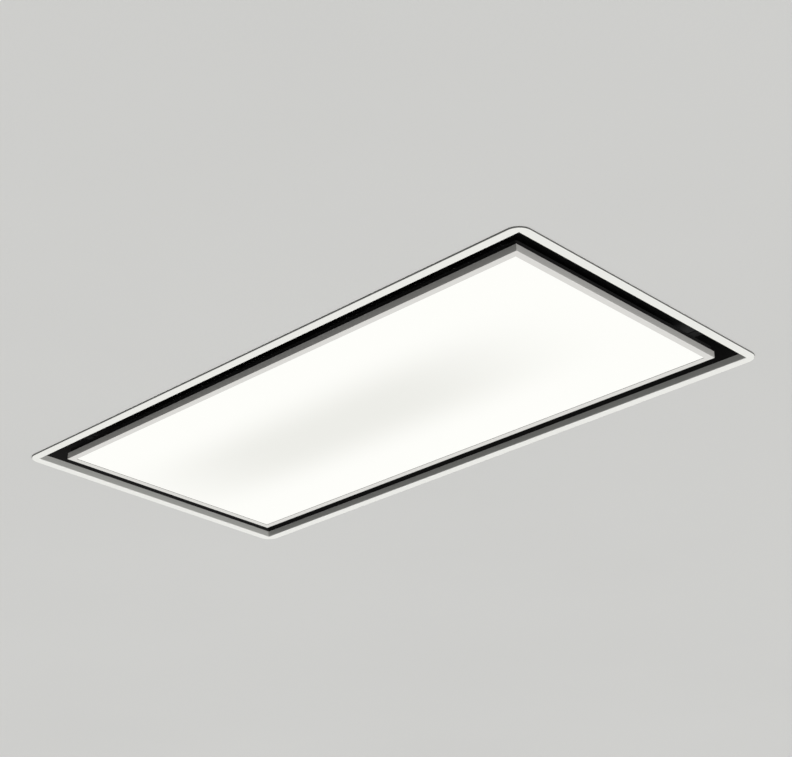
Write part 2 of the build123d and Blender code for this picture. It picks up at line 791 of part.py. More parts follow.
# ---------------------------------------------------------------- blower scroll
def volute_face(wall: float, top: float) -> Sketch:
    """Make the scroll's outline round the flow as one closed face.

    Four arcs about the corners of a small square make a spiral that grows by one side of the
    square each quarter turn. Two straight walls lead from it up to the outlet.

    Args:
        wall: How far the outline lies outside the flow.
        top: Height of the outlet's end.

    Returns:
        The face, with X along the hood and Y upwards.
    """
    half = scroll_growth / 2
    first = scroll_first_radius + wall
    left_x = blower_x + throat_left - wall
    right_x = blower_x + throat_right + wall
    start_angle = math.degrees(math.acos((left_x - blower_x + half) / first))
    with BuildSketch() as outline:
        with BuildLine():
            tongue_arc = CenterArc(
                (blower_x - half, blower_z + half), first, start_angle, 90 - start_angle
            )
            CenterArc((blower_x - half, blower_z - half), first + scroll_growth, 90, 90)
            CenterArc((blower_x + half, blower_z - half), first + 2 * scroll_growth, 180, 90)
            last_arc = CenterArc(
                (blower_x + half, blower_z + half), first + 3 * scroll_growth, 270, 90
            )
            Polyline(last_arc @ 1, (right_x, top), (left_x, top), tongue_arc @ 0)
        make_face()
    return outline.sketch


# Local X is the radius and local Y the distance from the scroll's middle towards the front.
front_axis_plane = Plane(origin=(blower_x, 0, blower_z), x_dir=(1, 0, 0), z_dir=(0, 0, -1))
blower_axis = Axis((blower_x, 0, blower_z), (0, 1, 0))
blower_plane = Plane(origin=(blower_x, 0, blower_z), x_dir=(1, 0, 0), z_dir=(0, -1, 0))
mouth_radius = inlet_radius + inlet_flare
outlet_flange_z = wall_top - scroll_sheet

# The rolled wrapper runs from the tongue round to the outlet and is flanged there.
with BuildPart() as scroll_wrapper:
    with BuildSketch(Plane.XZ.offset(-scroll_half_width)):
        add(volute_face(scroll_sheet, wall_top))
        add(volute_face(0, wall_top), mode=Mode.SUBTRACT)
    extrude(amount=2 * scroll_half_width)
    nose_x = blower_x + throat_left
    nose_edges = (
        scroll_wrapper.edges()
        .filter_by(Axis.Y)
        .filter_by_position(Axis.X, nose_x - pin_clearance, nose_x + pin_clearance)
        .filter_by_position(Axis.Z, blower_z, outlet_flange_z)
    )
    fillet(nose_edges, radius=tongue_radius)
    with BuildSketch(Plane.XY.offset(outlet_flange_z)):
        with Locations((duct_x, 0)):
            Rectangle(2 * flange_half_length, outlet_width)
            Rectangle(outlet_length, outlet_width, mode=Mode.SUBTRACT)
        with Locations(*collar_screw_spots):
            Circle(screw_hole_radius, mode=Mode.SUBTRACT)
    extrude(amount=scroll_sheet)
export_piece(scroll_wrapper, "scroll_wrapper")

# Each side plate stands a lip's width beyond the wrapper and has a flared inlet pressed into it.
with BuildPart() as scroll_plate_front:
    with BuildSketch(Plane.XZ.offset(scroll_half_width)):
        add(volute_face(scroll_edge, wall_top))
        with Locations((blower_x, blower_z)):
            Circle(mouth_radius, mode=Mode.SUBTRACT)
    extrude(amount=scroll_sheet)
    with BuildSketch(Plane.XY.offset(outlet_flange_z)):
        with Locations((duct_x, -scroll_half_width)):
            Rectangle(
                2 * flange_half_length,
                scroll_sheet + outlet_flange,
                align=(Align.CENTER, Align.MAX),
            )
        with Locations(*collar_screw_spots):
            Circle(screw_hole_radius, mode=Mode.SUBTRACT)
    extrude(amount=scroll_sheet)
    with BuildSketch(front_axis_plane):
        with BuildLine():
            flare_center = (mouth_radius, scroll_outer_half_width - inlet_flare)
            throat_arc = CenterArc(flare_center, inlet_flare, 90, 90)
            back_arc = CenterArc(flare_center, inlet_flare - scroll_sheet, 90, 90)
            Line(throat_arc @ 0, back_arc @ 0)
            Line(throat_arc @ 1, back_arc @ 1)
        make_face()
    revolve(axis=blower_axis)
export_piece(scroll_plate_front, "scroll_plate_front")

with BuildPart() as scroll_plate_rear:
    mirror(scroll_plate_front.part, about=Plane.XZ)
export_piece(scroll_plate_rear, "scroll_plate_rear")

# ---------------------------------------------------------------- impeller
# Forward-curved blades run from end ring to end ring through slots in the driven disc.
blade_middle_radius = (blade_inner_radius + 2 * blade_outer_radius) / 3
blade_middle_lean = math.degrees(blade_bulge / blade_middle_radius)
blade_half_length = impeller_half_length - impeller_ring


def blade_arc(turn: float) -> list[Vector]:
    """Find three points along one side of a blade.

    Args:
        turn: Angle by which the side is turned about the impeller's axis, in degrees.

    Returns:
        The side's inner, middle and outer point.
    """
    stations = (
        (blade_inner_radius, 0),
        (blade_middle_radius, blade_middle_lean),
        (blade_outer_radius, blade_lean),
    )
    return [Vector(radius, 0).rotate(Axis.Z, angle + turn) for radius, angle in stations]


with BuildSketch() as blade_section:
    with BuildLine():
        pressure_side = ThreePointArc(*blade_arc(0))
        suction_side = ThreePointArc(*blade_arc(-blade_angle_width))
        Line(pressure_side @ 0, suction_side @ 0)
        Line(pressure_side @ 1, suction_side @ 1)
    make_face()

with BuildPart() as impeller_blades:
    with BuildSketch(blower_plane.offset(-blade_half_length)):
        with PolarLocations(0, blade_count):
            add(blade_section.sketch)
    extrude(amount=2 * blade_half_length)
export_piece(impeller_blades, "impeller_blades")

with BuildPart() as impeller_rings:
    for ring_y in (-impeller_half_length, blade_half_length):
        with BuildSketch(blower_plane.offset(ring_y)):
            Circle(impeller_radius)
            Circle(impeller_radius - impeller_ring_width, mode=Mode.SUBTRACT)
        extrude(amount=impeller_ring)
export_piece(impeller_rings, "impeller_rings")

with BuildPart() as impeller_disc:
    with BuildSketch(blower_plane.offset(-impeller_web / 2)):
        Circle(impeller_radius)
        with PolarLocations(0, blade_count):
            add(blade_section.sketch, mode=Mode.SUBTRACT)
    extrude(amount=impeller_web)
    with BuildSketch(blower_plane.offset(-hub_length)):
        Circle(hub_radius)
    extrude(amount=hub_length, taper=-hub_taper)
    with BuildSketch(blower_plane.offset(-hub_length)):
        Circle(shaft_radius)
    extrude(amount=hub_length + impeller_web, mode=Mode.SUBTRACT)
export_piece(impeller_disc, "impeller_disc")

# ---------------------------------------------------------------- motor and its spider
motor_inner_y = motor_gap
motor_outer_y = scroll_outer_half_width - motor_boss_length
motor_nose_y = motor_inner_y - motor_boss_length
with BuildPart() as motor:
    with BuildSketch(front_axis_plane):
        with BuildLine():
            Polyline(
                (0, motor_nose_y),
                (motor_boss_radius, motor_nose_y),
                (motor_boss_radius, motor_inner_y),
                (motor_radius, motor_inner_y),
                (motor_radius, motor_outer_y),
                (motor_boss_radius, motor_outer_y),
                (motor_boss_radius, scroll_outer_half_width),
                (0, scroll_outer_half_width),
                close=True,
            )
        make_face()
    revolve(axis=blower_axis)
    can_rims = (
        motor.edges()
        .filter_by(GeomType.CIRCLE)
        .filter_by(lambda edge: abs(edge.radius - motor_radius) < pin_clearance)
    )
    fillet(can_rims, radius=motor_edge_radius)
    with BuildSketch(blower_plane.offset(motor_nose_y)):
        Circle(shaft_radius + pin_clearance)
    extrude(amount=motor_bearing_depth, mode=Mode.SUBTRACT)
export_piece(motor, "motor")

with BuildPart() as motor_shaft:
    with BuildSketch(blower_plane.offset(-hub_length)):
        Circle(shaft_radius)
    extrude(amount=hub_length + motor_nose_y + motor_bearing_depth - motor_boss_length)
    chamfer(motor_shaft.faces().sort_by(Axis.Y)[-1].edges(), length=shaft_chamfer)
export_piece(motor_shaft, "motor_shaft")

with BuildPart() as motor_spider:
    with BuildSketch(blower_plane.offset(scroll_outer_half_width)):
        Circle(mouth_radius + spider_ring_width)
        Circle(mouth_radius, mode=Mode.SUBTRACT)
        Circle(spider_hub_radius)
        with PolarLocations(0, spider_arms, start_angle=90):
            with Locations(((spider_hub_radius + mouth_radius) / 2, 0)):
                Rectangle(mouth_radius - spider_hub_radius + spider_ring_width, spider_arm_width)
    extrude(amount=spider_sheet)
export_piece(motor_spider, "motor_spider")

# ---------------------------------------------------------------- duct collar
# The base is screwed to the casing and its hood turns the square outlet into a round one.
pin_seat_radius = collar_bore + flap_pin_seat
with BuildPart() as duct_collar:
    with BuildSketch(Plane.XY.offset(casing_height)):
        with Locations((duct_x, 0)):
            Rectangle(2 * flange_half_length, 2 * flange_half_width)
    extrude(amount=collar_base)
    with BuildSketch(Plane.XY.offset(collar_z)):
        with Locations((duct_x, 0)):
            RectangleRounded(
                outlet_length + 2 * collar_wall,
                outlet_width + 2 * collar_wall,
                2 * collar_wall,
            )
    with BuildSketch(Plane.XY.offset(collar_round_z)):
        with Locations((duct_x, 0)):
            Circle(collar_radius)
    loft()
    with BuildSketch(Plane.XY.offset(collar_round_z)):
        with Locations((duct_x, 0)):
            Circle(collar_radius)
    extrude(amount=collar_length)
    with BuildSketch(Plane.XY.offset(casing_height)):
        with Locations((duct_x, 0)):
            RectangleRounded(outlet_length, outlet_width, collar_wall)
    extrude(amount=collar_base, mode=Mode.SUBTRACT)
    with BuildSketch(Plane.XY.offset(collar_z)):
        with Locations((duct_x, 0)):
            RectangleRounded(outlet_length, outlet_width, collar_wall)
    with BuildSketch(Plane.XY.offset(collar_round_z)):
        with Locations((duct_x, 0)):
            Circle(collar_bore)
    loft(mode=Mode.SUBTRACT)
    with BuildSketch(Plane.XY.offset(collar_round_z)):
        with Locations((duct_x, 0)):
            Circle(collar_bore)
    extrude(amount=collar_length, mode=Mode.SUBTRACT)
    chamfer(
        duct_collar.faces().sort_by(Axis.Z)[-1].outer_wire().edges(), length=collar_lead_in
    )
    # Stop ring under the flaps
    stop_z = flap_z - flap_thickness / 2 - running_clearance - collar_stop_height
    with BuildSketch(Plane.XY.offset(stop_z)):
        with Locations((duct_x, 0)):
            Circle(collar_bore)
            Circle(collar_bore - collar_stop, mode=Mode.SUBTRACT)
    extrude(amount=collar_stop_height)
    # Seats for the ends of the flaps' pin
    with BuildSketch(Plane.XZ.offset(-pin_seat_radius)):
        with Locations((duct_x, flap_z)):
            Circle(flap_pin_radius + pin_clearance)
    extrude(amount=2 * pin_seat_radius, mode=Mode.SUBTRACT)
    with BuildSketch(Plane.XY.offset(casing_height)):
        with Locations(*collar_screw_spots):
            Circle(screw_hole_radius)
    extrude(amount=collar_base, mode=Mode.SUBTRACT)
export_piece(duct_collar, "duct_collar")

with BuildPart() as flap_pin:
    with BuildSketch(Plane.XZ.offset(-pin_seat_radius)):
        with Locations((duct_x, flap_z)):
            Circle(flap_pin_radius)
    extrude(amount=2 * pin_seat_radius)
export_piece(flap_pin, "flap_pin")

# The flaps' knuckles take turns along the pin.
knuckle_step = flap_knuckle_length + 2 * running_clearance
flap_straight = flap_knuckle_radius + flap_root_gap
for side_name, side in (("left", -1), ("right", 1)):
    knuckle_rows = [side * knuckle_step * row for row in (-1.5, 0.5)]
    with BuildPart() as flap:
        with BuildSketch(Plane.XY.offset(flap_z - flap_thickness / 2)):
            with Locations((duct_x, 0)):
                Circle(flap_radius)
            with Locations((duct_x - side * (flap_radius - flap_straight), 0)):
                Rectangle(2 * flap_radius, 2 * flap_radius, mode=Mode.SUBTRACT)
            with Locations(*[(duct_x + side * flap_straight / 2, row) for row in knuckle_rows]):
                Rectangle(2 * flap_straight, flap_knuckle_length)
        extrude(amount=flap_thickness)
        for row in knuckle_rows:
            with BuildSketch(Plane.XZ.offset(-row - flap_knuckle_length / 2)):
                with Locations((duct_x, flap_z)):
                    Circle(flap_knuckle_radius)
            extrude(amount=flap_knuckle_length)
        with BuildSketch(Plane.XZ.offset(-flap_radius)):
            with Locations((duct_x, flap_z)):
                Circle(flap_pin_radius + pin_clearance)
        extrude(amount=2 * flap_radius, mode=Mode.SUBTRACT)
    export_piece(flap, f"flap_{side_name}")

# ---------------------------------------------------------------- control box
box_z = wall_top - box_height
with BuildPart() as control_box:
    with BuildSketch(Plane.XY.offset(box_z)):
        with Locations((box_x, 0)):
            RectangleRounded(box_length, box_width, box_corner_radius)
    extrude(amount=box_height)
    open_face = control_box.faces().sort_by(Axis.Z)[0]
    offset(amount=-box_wall, openings=open_face)
    with BuildSketch(Plane.XY.offset(wall_top - box_wall)):
        with Locations((box_x, 0)):
            Circle(gland_thread_radius + fitting_clearance)
    extrude(amount=box_wall, mode=Mode.SUBTRACT)
export_piece(control_box, "control_box")

with BuildPart() as control_cover:
    with BuildSketch(Plane.XY.offset(box_z - cover_sheet)):
        with Locations((box_x, 0)):
            RectangleRounded(box_length, box_width, box_corner_radius)
    extrude(amount=cover_sheet)
    with BuildSketch(Plane.XY.offset(box_z)):
        with Locations((box_x, 0)):
            RectangleRounded(
                box_length - 2 * (box_wall + fitting_clearance),
                box_width - 2 * (box_wall + fitting_clearance),
                box_corner_radius,
            )
            Rectangle(
                box_length - 2 * (box_wall + fitting_clearance + cover_sheet),
                box_width - 2 * (box_wall + fitting_clearance + cover_sheet),
                mode=Mode.SUBTRACT,
            )
    extrude(amount=cover_lip)
export_piece(control_cover, "control_cover")

board_length = box_length - 2 * (box_wall + board_standoff)
board_width = box_width - 2 * (box_wall + board_standoff)
board_z = box_z + cover_lip + board_standoff
with BuildPart() as control_board:
    with BuildSketch(Plane.XY.offset(board_z)):
        with Locations((box_x, 0)):
            Rectangle(board_length, board_width)
    extrude(amount=board_thickness)
    # Standoffs up to the box's roof
    with BuildSketch(Plane.XY.offset(board_z + board_thickness)):
        with Locations((box_x, 0)):
            with GridLocations(
                board_length - board_standoff, board_width - board_standoff, 2, 2
            ):
                Circle(board_standoff / 2)
    extrude(amount=wall_top - box_wall - board_z - board_thickness)
    # A row of a transformer and its relays stands along one edge.
    component_x = box_x - board_length / 2 + component_inset
    with BuildSketch(Plane.XY.offset(board_z + board_thickness)):
        with Locations((component_x, -component_pitch)):
            Rectangle(transformer_length, transformer_width)
    extrude(amount=transformer_height)
    with BuildSketch(Plane.XY.offset(board_z + board_thickness)):
        with Locations((component_x, component_pitch / 2)):
            with GridLocations(0, component_pitch, 1, relay_count):
                Rectangle(relay_length, relay_width)
    extrude(amount=relay_height)
export_piece(control_board, "control_board")

# ---------------------------------------------------------------- lamp driver
driver_z = wall_top - driver_height
with BuildPart() as led_driver:
    with BuildSketch(Plane.XY.offset(driver_z)):
        with Locations((driver_x, 0)):
            RectangleRounded(driver_length, driver_width, box_corner_radius)
    extrude(amount=driver_height)
    fillet(led_driver.faces().sort_by(Axis.Z)[0].edges(), radius=box_corner_radius / 2)
    with BuildSketch(Plane.XY.offset(wall_top - driver_ear_sheet)):
        with Locations((driver_x, 0)):
            SlotOverall(driver_length + 2 * driver_ear, driver_width / 2)
            with GridLocations(driver_length + driver_ear, 0, 2, 1):
                Circle(screw_hole_radius, mode=Mode.SUBTRACT)
    extrude(amount=driver_ear_sheet)
export_piece(led_driver, "led_driver")

# ---------------------------------------------------------------- cable gland
gland_across_corners = gland_hex / math.cos(math.radians(30))
with BuildPart() as cable_gland:
    with BuildSketch(Plane.XY.offset(wall_top - box_wall - gland_nut_height)):
        with Locations((box_x, 0)):
            RegularPolygon(gland_across_corners / 2, 6)
    extrude(amount=gland_nut_height)
    with BuildSketch(Plane.XY.offset(wall_top - box_wall)):
        with Locations((box_x, 0)):
            Circle(gland_thread_radius)
    extrude(amount=box_wall + casing_sheet)
    with BuildSketch(Plane.XY.offset(casing_height)):
        with Locations((box_x, 0)):
            RegularPolygon(gland_across_corners / 2, 6)
    extrude(amount=gland_hex_height)
    with BuildSketch(Plane.XY.offset(casing_height + gland_hex_height)):
        with Locations((box_x, 0)):
            Circle(gland_dome_radius)
    extrude(amount=gland_dome_height)
    fillet(
        cable_gland.faces().sort_by(Axis.Z)[-1].edges(),
        radius=(gland_dome_radius - gland_bore_radius) / 2,
    )
    with BuildSketch(Plane.XY.offset(casing_height + gland_hex_height + gland_dome_height)):
        with Locations((box_x, 0)):
            Circle(gland_bore_radius)
    extrude(
        amount=-(gland_dome_height + gland_hex_height + casing_sheet + box_wall + gland_nut_height),
        mode=Mode.SUBTRACT,
    )
export_piece(cable_gland, "cable_gland")

# ---------------------------------------------------------------- suspension brackets
# Stepped brackets near the corners: the foot is screwed down and the rod hangs the raised leg.
for end_name, side_y in (("front", -1), ("rear", 1)):
    for side_name, side_x in (("left", -1), ("right", 1)):
        rod_x = side_x * bracket_spacing_x / 2
        rod_y = side_y * bracket_spacing_y / 2
        foot_end_x = rod_x - side_x * (bracket_length + bracket_foot / 2)
        riser_x = rod_x - side_x * (bracket_length - bracket_foot / 2)
        leg_end_x = rod_x + side_x * bracket_length / 2
        bracket_top = casing_height + bracket_rise
        with BuildPart() as bracket:
            with BuildSketch(Plane.XZ.offset(-rod_y - bracket_width / 2)):
                with BuildLine():
                    center_line = FilletPolyline(
                        (foot_end_x, casing_height + bracket_sheet / 2),
                        (riser_x, casing_height + bracket_sheet / 2),
                        (riser_x, bracket_top - bracket_sheet / 2),
                        (leg_end_x, bracket_top - bracket_sheet / 2),
                        radius=bracket_sheet,
                    )
                    offset(amount=bracket_sheet / 2, side=Side.BOTH)
                make_face()
            extrude(amount=bracket_width)
            with BuildSketch(Plane.XY.offset(casing_height)):
                with Locations((rod_x, rod_y)):
                    Circle(rod_hole_radius)
            extrude(amount=bracket_rise, mode=Mode.SUBTRACT)
            with BuildSketch(Plane.XY.offset(casing_height)):
                with Locations(*bracket_screw_spots):
                    Circle(screw_hole_radius)
            extrude(amount=bracket_sheet, mode=Mode.SUBTRACT)
        export_piece(bracket, f"suspension_bracket_{end_name}_{side_name}")

# ---------------------------------------------------------------- screws
casing_screw_spots = [
    (location.position.X, location.position.Y)
    for location in (*long_wall_screws.local_locations, *short_wall_screws.local_locations)
]
screw_groups = (
    ("casing_screws", casing_screw_spots, casing_height),
    ("bracket_screws", bracket_screw_spots, casing_height + bracket_sheet),
    ("collar_screws", collar_screw_spots, casing_height + collar_base),
)
for group_name, spots, seat_z in screw_groups:
    with BuildPart() as screws:
        with BuildSketch(Plane.XY.offset(seat_z)):
            with Locations(*spots):
                Circle(screw_radius)
        extrude(amount=-screw_length)
        with BuildSketch(Plane.XY.offset(seat_z)):
            with Locations(*spots):
                Circle(screw_head_radius)
        extrude(amount=screw_head_height, taper=20)
    export_piece(screws, group_name)
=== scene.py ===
"""Looks of a built-in ceiling range hood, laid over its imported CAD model.

The CAD pieces keep their shapes and get node materials. The screws, the rivets, the ceiling board,
the light and the camera are made here.
"""

import logging
import math
from dataclasses import dataclass
from enum import Enum

import bmesh
import bpy
from mathutils import Matrix, Vector


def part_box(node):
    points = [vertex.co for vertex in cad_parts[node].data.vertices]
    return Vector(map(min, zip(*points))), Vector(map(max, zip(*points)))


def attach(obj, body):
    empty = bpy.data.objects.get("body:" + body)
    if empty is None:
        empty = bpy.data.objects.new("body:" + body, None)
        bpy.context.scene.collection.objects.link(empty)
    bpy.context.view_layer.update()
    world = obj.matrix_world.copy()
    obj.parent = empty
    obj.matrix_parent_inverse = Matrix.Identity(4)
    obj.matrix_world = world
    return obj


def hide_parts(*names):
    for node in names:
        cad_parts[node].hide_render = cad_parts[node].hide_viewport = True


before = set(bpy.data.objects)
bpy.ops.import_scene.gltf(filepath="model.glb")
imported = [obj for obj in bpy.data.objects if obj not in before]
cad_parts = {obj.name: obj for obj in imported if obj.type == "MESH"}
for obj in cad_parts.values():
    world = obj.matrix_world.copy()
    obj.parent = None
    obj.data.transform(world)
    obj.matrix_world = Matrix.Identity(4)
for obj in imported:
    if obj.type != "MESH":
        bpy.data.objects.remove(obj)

Rgb = tuple[float, float, float]
Triple = tuple[float, float, float]
Span = tuple[float, float]
Socket = bpy.types.NodeSocket
Material = bpy.types.Material

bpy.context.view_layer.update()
LOG = logging.getLogger("ceiling_hood")
MM = 0.001
# Corners of a CAD mesh that lie closer than this are the same corner.
WELD = 0.01 * MM
# Edges that turn by more than this stay sharp.
SHARP_ANGLE = math.radians(32)
# Blender's wave texture turns by this many radians for each unit of its coordinate.
WAVE_TURN = 20.0


class Lay(Enum):
    """Direction in which a finish is drawn out, as the stretch of its grain along X, Y and Z."""

    EVEN = (1.0, 1.0, 1.0)
    ALONG_LENGTH = (0.03, 1.0, 1.0)
    ALONG_WIDTH = (1.0, 0.03, 1.0)


class Detail(Enum):
    """Fineness of a noise pattern, as its octaves."""

    SMOOTH = 2.0
    PLAIN = 3.0
    FINE = 4.0
    ROUGH = 5.0


def grey(level: float) -> Rgb:
    """Return a neutral linear colour of one level."""
    return (level, level, level)


def shade(colour: Rgb, factor: float) -> Rgb:
    """Scale a linear colour.

    Args:
        colour: Linear red, green and blue.
        factor: What each channel is multiplied by.

    Returns:
        The scaled colour, capped at 1.
    """
    return tuple(min(1.0, channel * factor) for channel in colour)


def around(level: float, drift: Span) -> Span:
    """Give the values that lie a drift below and above a level.

    Args:
        level: The level.
        drift: What is added for the lower and for the upper value.

    Returns:
        The lower and the upper value.
    """
    return (level + drift[0], level + drift[1])


class Surface:
    """One node material while it is being built up.

    Attributes:
        material: The material.
        tree: Its node tree.
        body: Its shader.
        place: Place on the piece in metres, in the shared frame.
    """

    def __init__(self, name: str) -> None:
        """Start a material that is still bare.

        Args:
            name: The material's name.
        """
        self.material = bpy.data.materials.new(name)
        self.material.use_nodes = True
        self.tree = self.material.node_tree
        self.body = self.tree.nodes["Principled BSDF"]
        self.place = self.node("ShaderNodeTexCoord").outputs["Object"]

    def node(self, kind: str, **settings: object) -> bpy.types.Node:
        """Add a node.

        Args:
            kind: Blender's type name of the node.
            settings: Attributes to set on it.

        Returns:
            The new node.
        """
        made = self.tree.nodes.new(kind)
        for key, value in settings.items():
            setattr(made, key, value)
        return made

    def join(self, source: Socket, target: Socket) -> None:
        """Link one socket to another."""
        self.tree.links.new(source, target)

    def noise(self, waves: float, detail: Detail = Detail.PLAIN, lay: Lay = Lay.EVEN) -> Socket:
        """Add a noise pattern.

        Args:
            waves: Waves per metre.
            detail: Its fineness.
            lay: Direction in which the pattern is drawn out.

        Returns:
            The pattern's value.
        """
        mapping = self.node("ShaderNodeMapping")
        mapping.inputs["Scale"].default_value = lay.value
        self.join(self.place, mapping.inputs["Vector"])
        made = self.node("ShaderNodeTexNoise")
        made.inputs["Scale"].default_value = waves
        made.inputs["Detail"].default_value = detail.value
        self.join(mapping.outputs["Vector"], made.inputs["Vector"])
        return made.outputs["Fac"]

    def between(self, pattern: Socket, low: float, high: float) -> Socket:
        """Map a pattern onto a range of values.

        Args:
            pattern: The pattern, from 0 to 1.
            low: Value where the pattern is 0.
            high: Value where it is 1.

        Returns:
            The mapped value.
        """
        made = self.node("ShaderNodeMapRange")
        made.inputs["To Min"].default_value = low
        made.inputs["To Max"].default_value = high
        self.join(pattern, made.inputs["Value"])
        return made.outputs["Result"]

    def ramp(self, source: Socket, start: float, end: float) -> Socket:
        """Rise softly from 0 to 1 between two values.

        Args:
            source: The value that is followed.
            start: Where the rise begins.
            end: Where it ends.

        Returns:
            The risen value.
        """
        made = self.node("ShaderNodeMapRange", interpolation_type="SMOOTHERSTEP")
        made.inputs["From Min"].default_value = start
        made.inputs["From Max"].default_value = end
        self.join(source, made.inputs["Value"])
        return made.outputs["Result"]

    def axes(self) -> tuple[Socket, ...]:
        """Split the place on the piece.

        Returns:
            Its X, Y and Z.
        """
        split = self.node("ShaderNodeSeparateXYZ")
        self.join(self.place, split.inputs["Vector"])
        return tuple(split.outputs[axis] for axis in "XYZ")

    def slope(self) -> Socket:
        """Follow how far the surface faces up.

        Returns:
            The upward share of its normal, from -1 facing down to 1 facing up.
        """
        split = self.node("ShaderNodeSeparateXYZ")
        self.join(self.node("ShaderNodeTexCoord").outputs["Normal"], split.inputs["Vector"])
        return split.outputs["Z"]

    def calc(self, operation: str, first: Socket | float, second: Socket | float = 0.0) -> Socket:
        """Work out one value from two.

        Args:
            operation: Blender's name of the operation.
            first: A value or a socket.
            second: A value or a socket.

        Returns:
            The result.
        """
        made = self.node("ShaderNodeMath", operation=operation)
        for socket, source in zip(made.inputs, (first, second)):
            if isinstance(source, float):
                socket.default_value = source
            else:
                self.join(source, socket)
        return made.outputs["Value"]

    def darken(self, colour: Socket, share: Socket) -> Socket:
        """Multiply a colour by a value.

        Args:
            colour: The colour.
            share: What each channel is multiplied by.

        Returns:
            The darker colour.
        """
        made = self.node("ShaderNodeVectorMath", operation="SCALE")
        self.join(colour, made.inputs[0])
        self.join(share, made.inputs["Scale"])
        return made.outputs["Vector"]

    def tint(self, pattern: Socket, low: Rgb, high: Rgb, reach: Span = (0.0, 1.0)) -> Socket:
        """Map a pattern onto two colours.

        Args:
            pattern: The pattern.
            low: Colour at the start of the reach.
            high: Colour at its end.
            reach: Pattern values of the first and of the second colour.

        Returns:
            The colour.
        """
        made = self.node("ShaderNodeValToRGB")
        for element, position, colour in zip(made.color_ramp.elements, reach, (low, high)):
            element.position = position
            element.color = (*colour, 1.0)
        self.join(pattern, made.inputs["Fac"])
        return made.outputs["Color"]

    def tones(self, pattern: Socket, colour: Rgb, shares: Span, reach: Span = (0.0, 1.0)) -> Socket:
        """Map a pattern onto a darker and a brighter tone of one colour.

        Args:
            pattern: The pattern.
            colour: The colour.
            shares: Brightness of the two tones as shares of the colour.
            reach: Pattern values of the first and of the second tone.

        Returns:
            The toned colour.
        """
        return self.tint(pattern, shade(colour, shares[0]), shade(colour, shares[1]), reach)

    def relief(self, height: Socket, depth: float, strength: float = 1.0) -> None:
        """Raise the surface by a pattern.

        Args:
            height: The pattern.
            depth: Height of the full pattern in metres.
            strength: Share of the relief that shows.
        """
        bump = self.node("ShaderNodeBump")
        bump.inputs["Distance"].default_value = depth
        bump.inputs["Strength"].default_value = strength
        self.join(height, bump.inputs["Height"])
        self.join(bump.outputs["Normal"], self.body.inputs["Normal"])

    def colour(self, source: Socket) -> None:
        """Feed the base colour from a pattern."""
        self.join(source, self.body.inputs["Base Color"])

    def gloss(self, pattern: Socket, roughness: Span) -> None:
        """Feed the roughness from a pattern.

        Args:
            pattern: The pattern, from 0 to 1.
            roughness: Roughness where the pattern is 0 and where it is 1.
        """
        self.join(self.between(pattern, *roughness), self.body.inputs["Roughness"])

    def fix(self, socket: str, value: float) -> None:
        """Set one number of the shader that is the same all over the surface."""
        self.body.inputs[socket].default_value = value


@dataclass(frozen=True)
class Skin:
    """Paint or plastic with faint clouds in its colour and a fine grain on its surface.

    Attributes:
        name: The finish's name.
        colour: Linear colour.
        sheen: Roughness of the skin.
        sheen_drift: How far the roughness strays from that.
        sheen_waves: Changes of the roughness per metre.
        clouds: Brightness of the clouds as shares of the colour.
        cloud_waves: Clouds per metre.
        grain_waves: Grains per metre.
        grain_depth: Height of the grains in metres.
        cloud_detail: Fineness of the clouds and of the roughness's changes.
        reflectance: The shader's specular level.
    """

    name: str
    colour: Rgb
    sheen: float
    sheen_drift: Span
    sheen_waves: float
    clouds: Span
    cloud_waves: float
    grain_waves: float
    grain_depth: float
    cloud_detail: Detail = Detail.PLAIN
    reflectance: float = 0.5

    def paint(self, skin: Surface) -> Socket:
        """Mix the colour with its clouds."""
        return skin.tones(skin.noise(self.cloud_waves, self.cloud_detail), self.colour, self.clouds)

    def make(self) -> Material:
        """Build the finish.

        Returns:
            Its material.
        """
        skin = Surface(self.name)
        skin.colour(self.paint(skin))
        drift = skin.noise(self.sheen_waves, self.cloud_detail)
        skin.gloss(drift, around(self.sheen, self.sheen_drift))
        skin.fix("Specular IOR Level", self.reflectance)
        skin.relief(skin.noise(self.grain_waves, Detail.SMOOTH), self.grain_depth)
        return skin.material


@dataclass(frozen=True)
class PowderCoat(Skin):
    """Baked powder paint with a fine orange peel."""

    sheen: float = 0.42
    sheen_drift: Span = (-0.04, 0.05)
    sheen_waves: float = 60.0
    clouds: Span = (0.975, 1.02)
    cloud_waves: float = 7.0
    grain_waves: float = 900.0
    grain_depth: float = 0.03 * MM


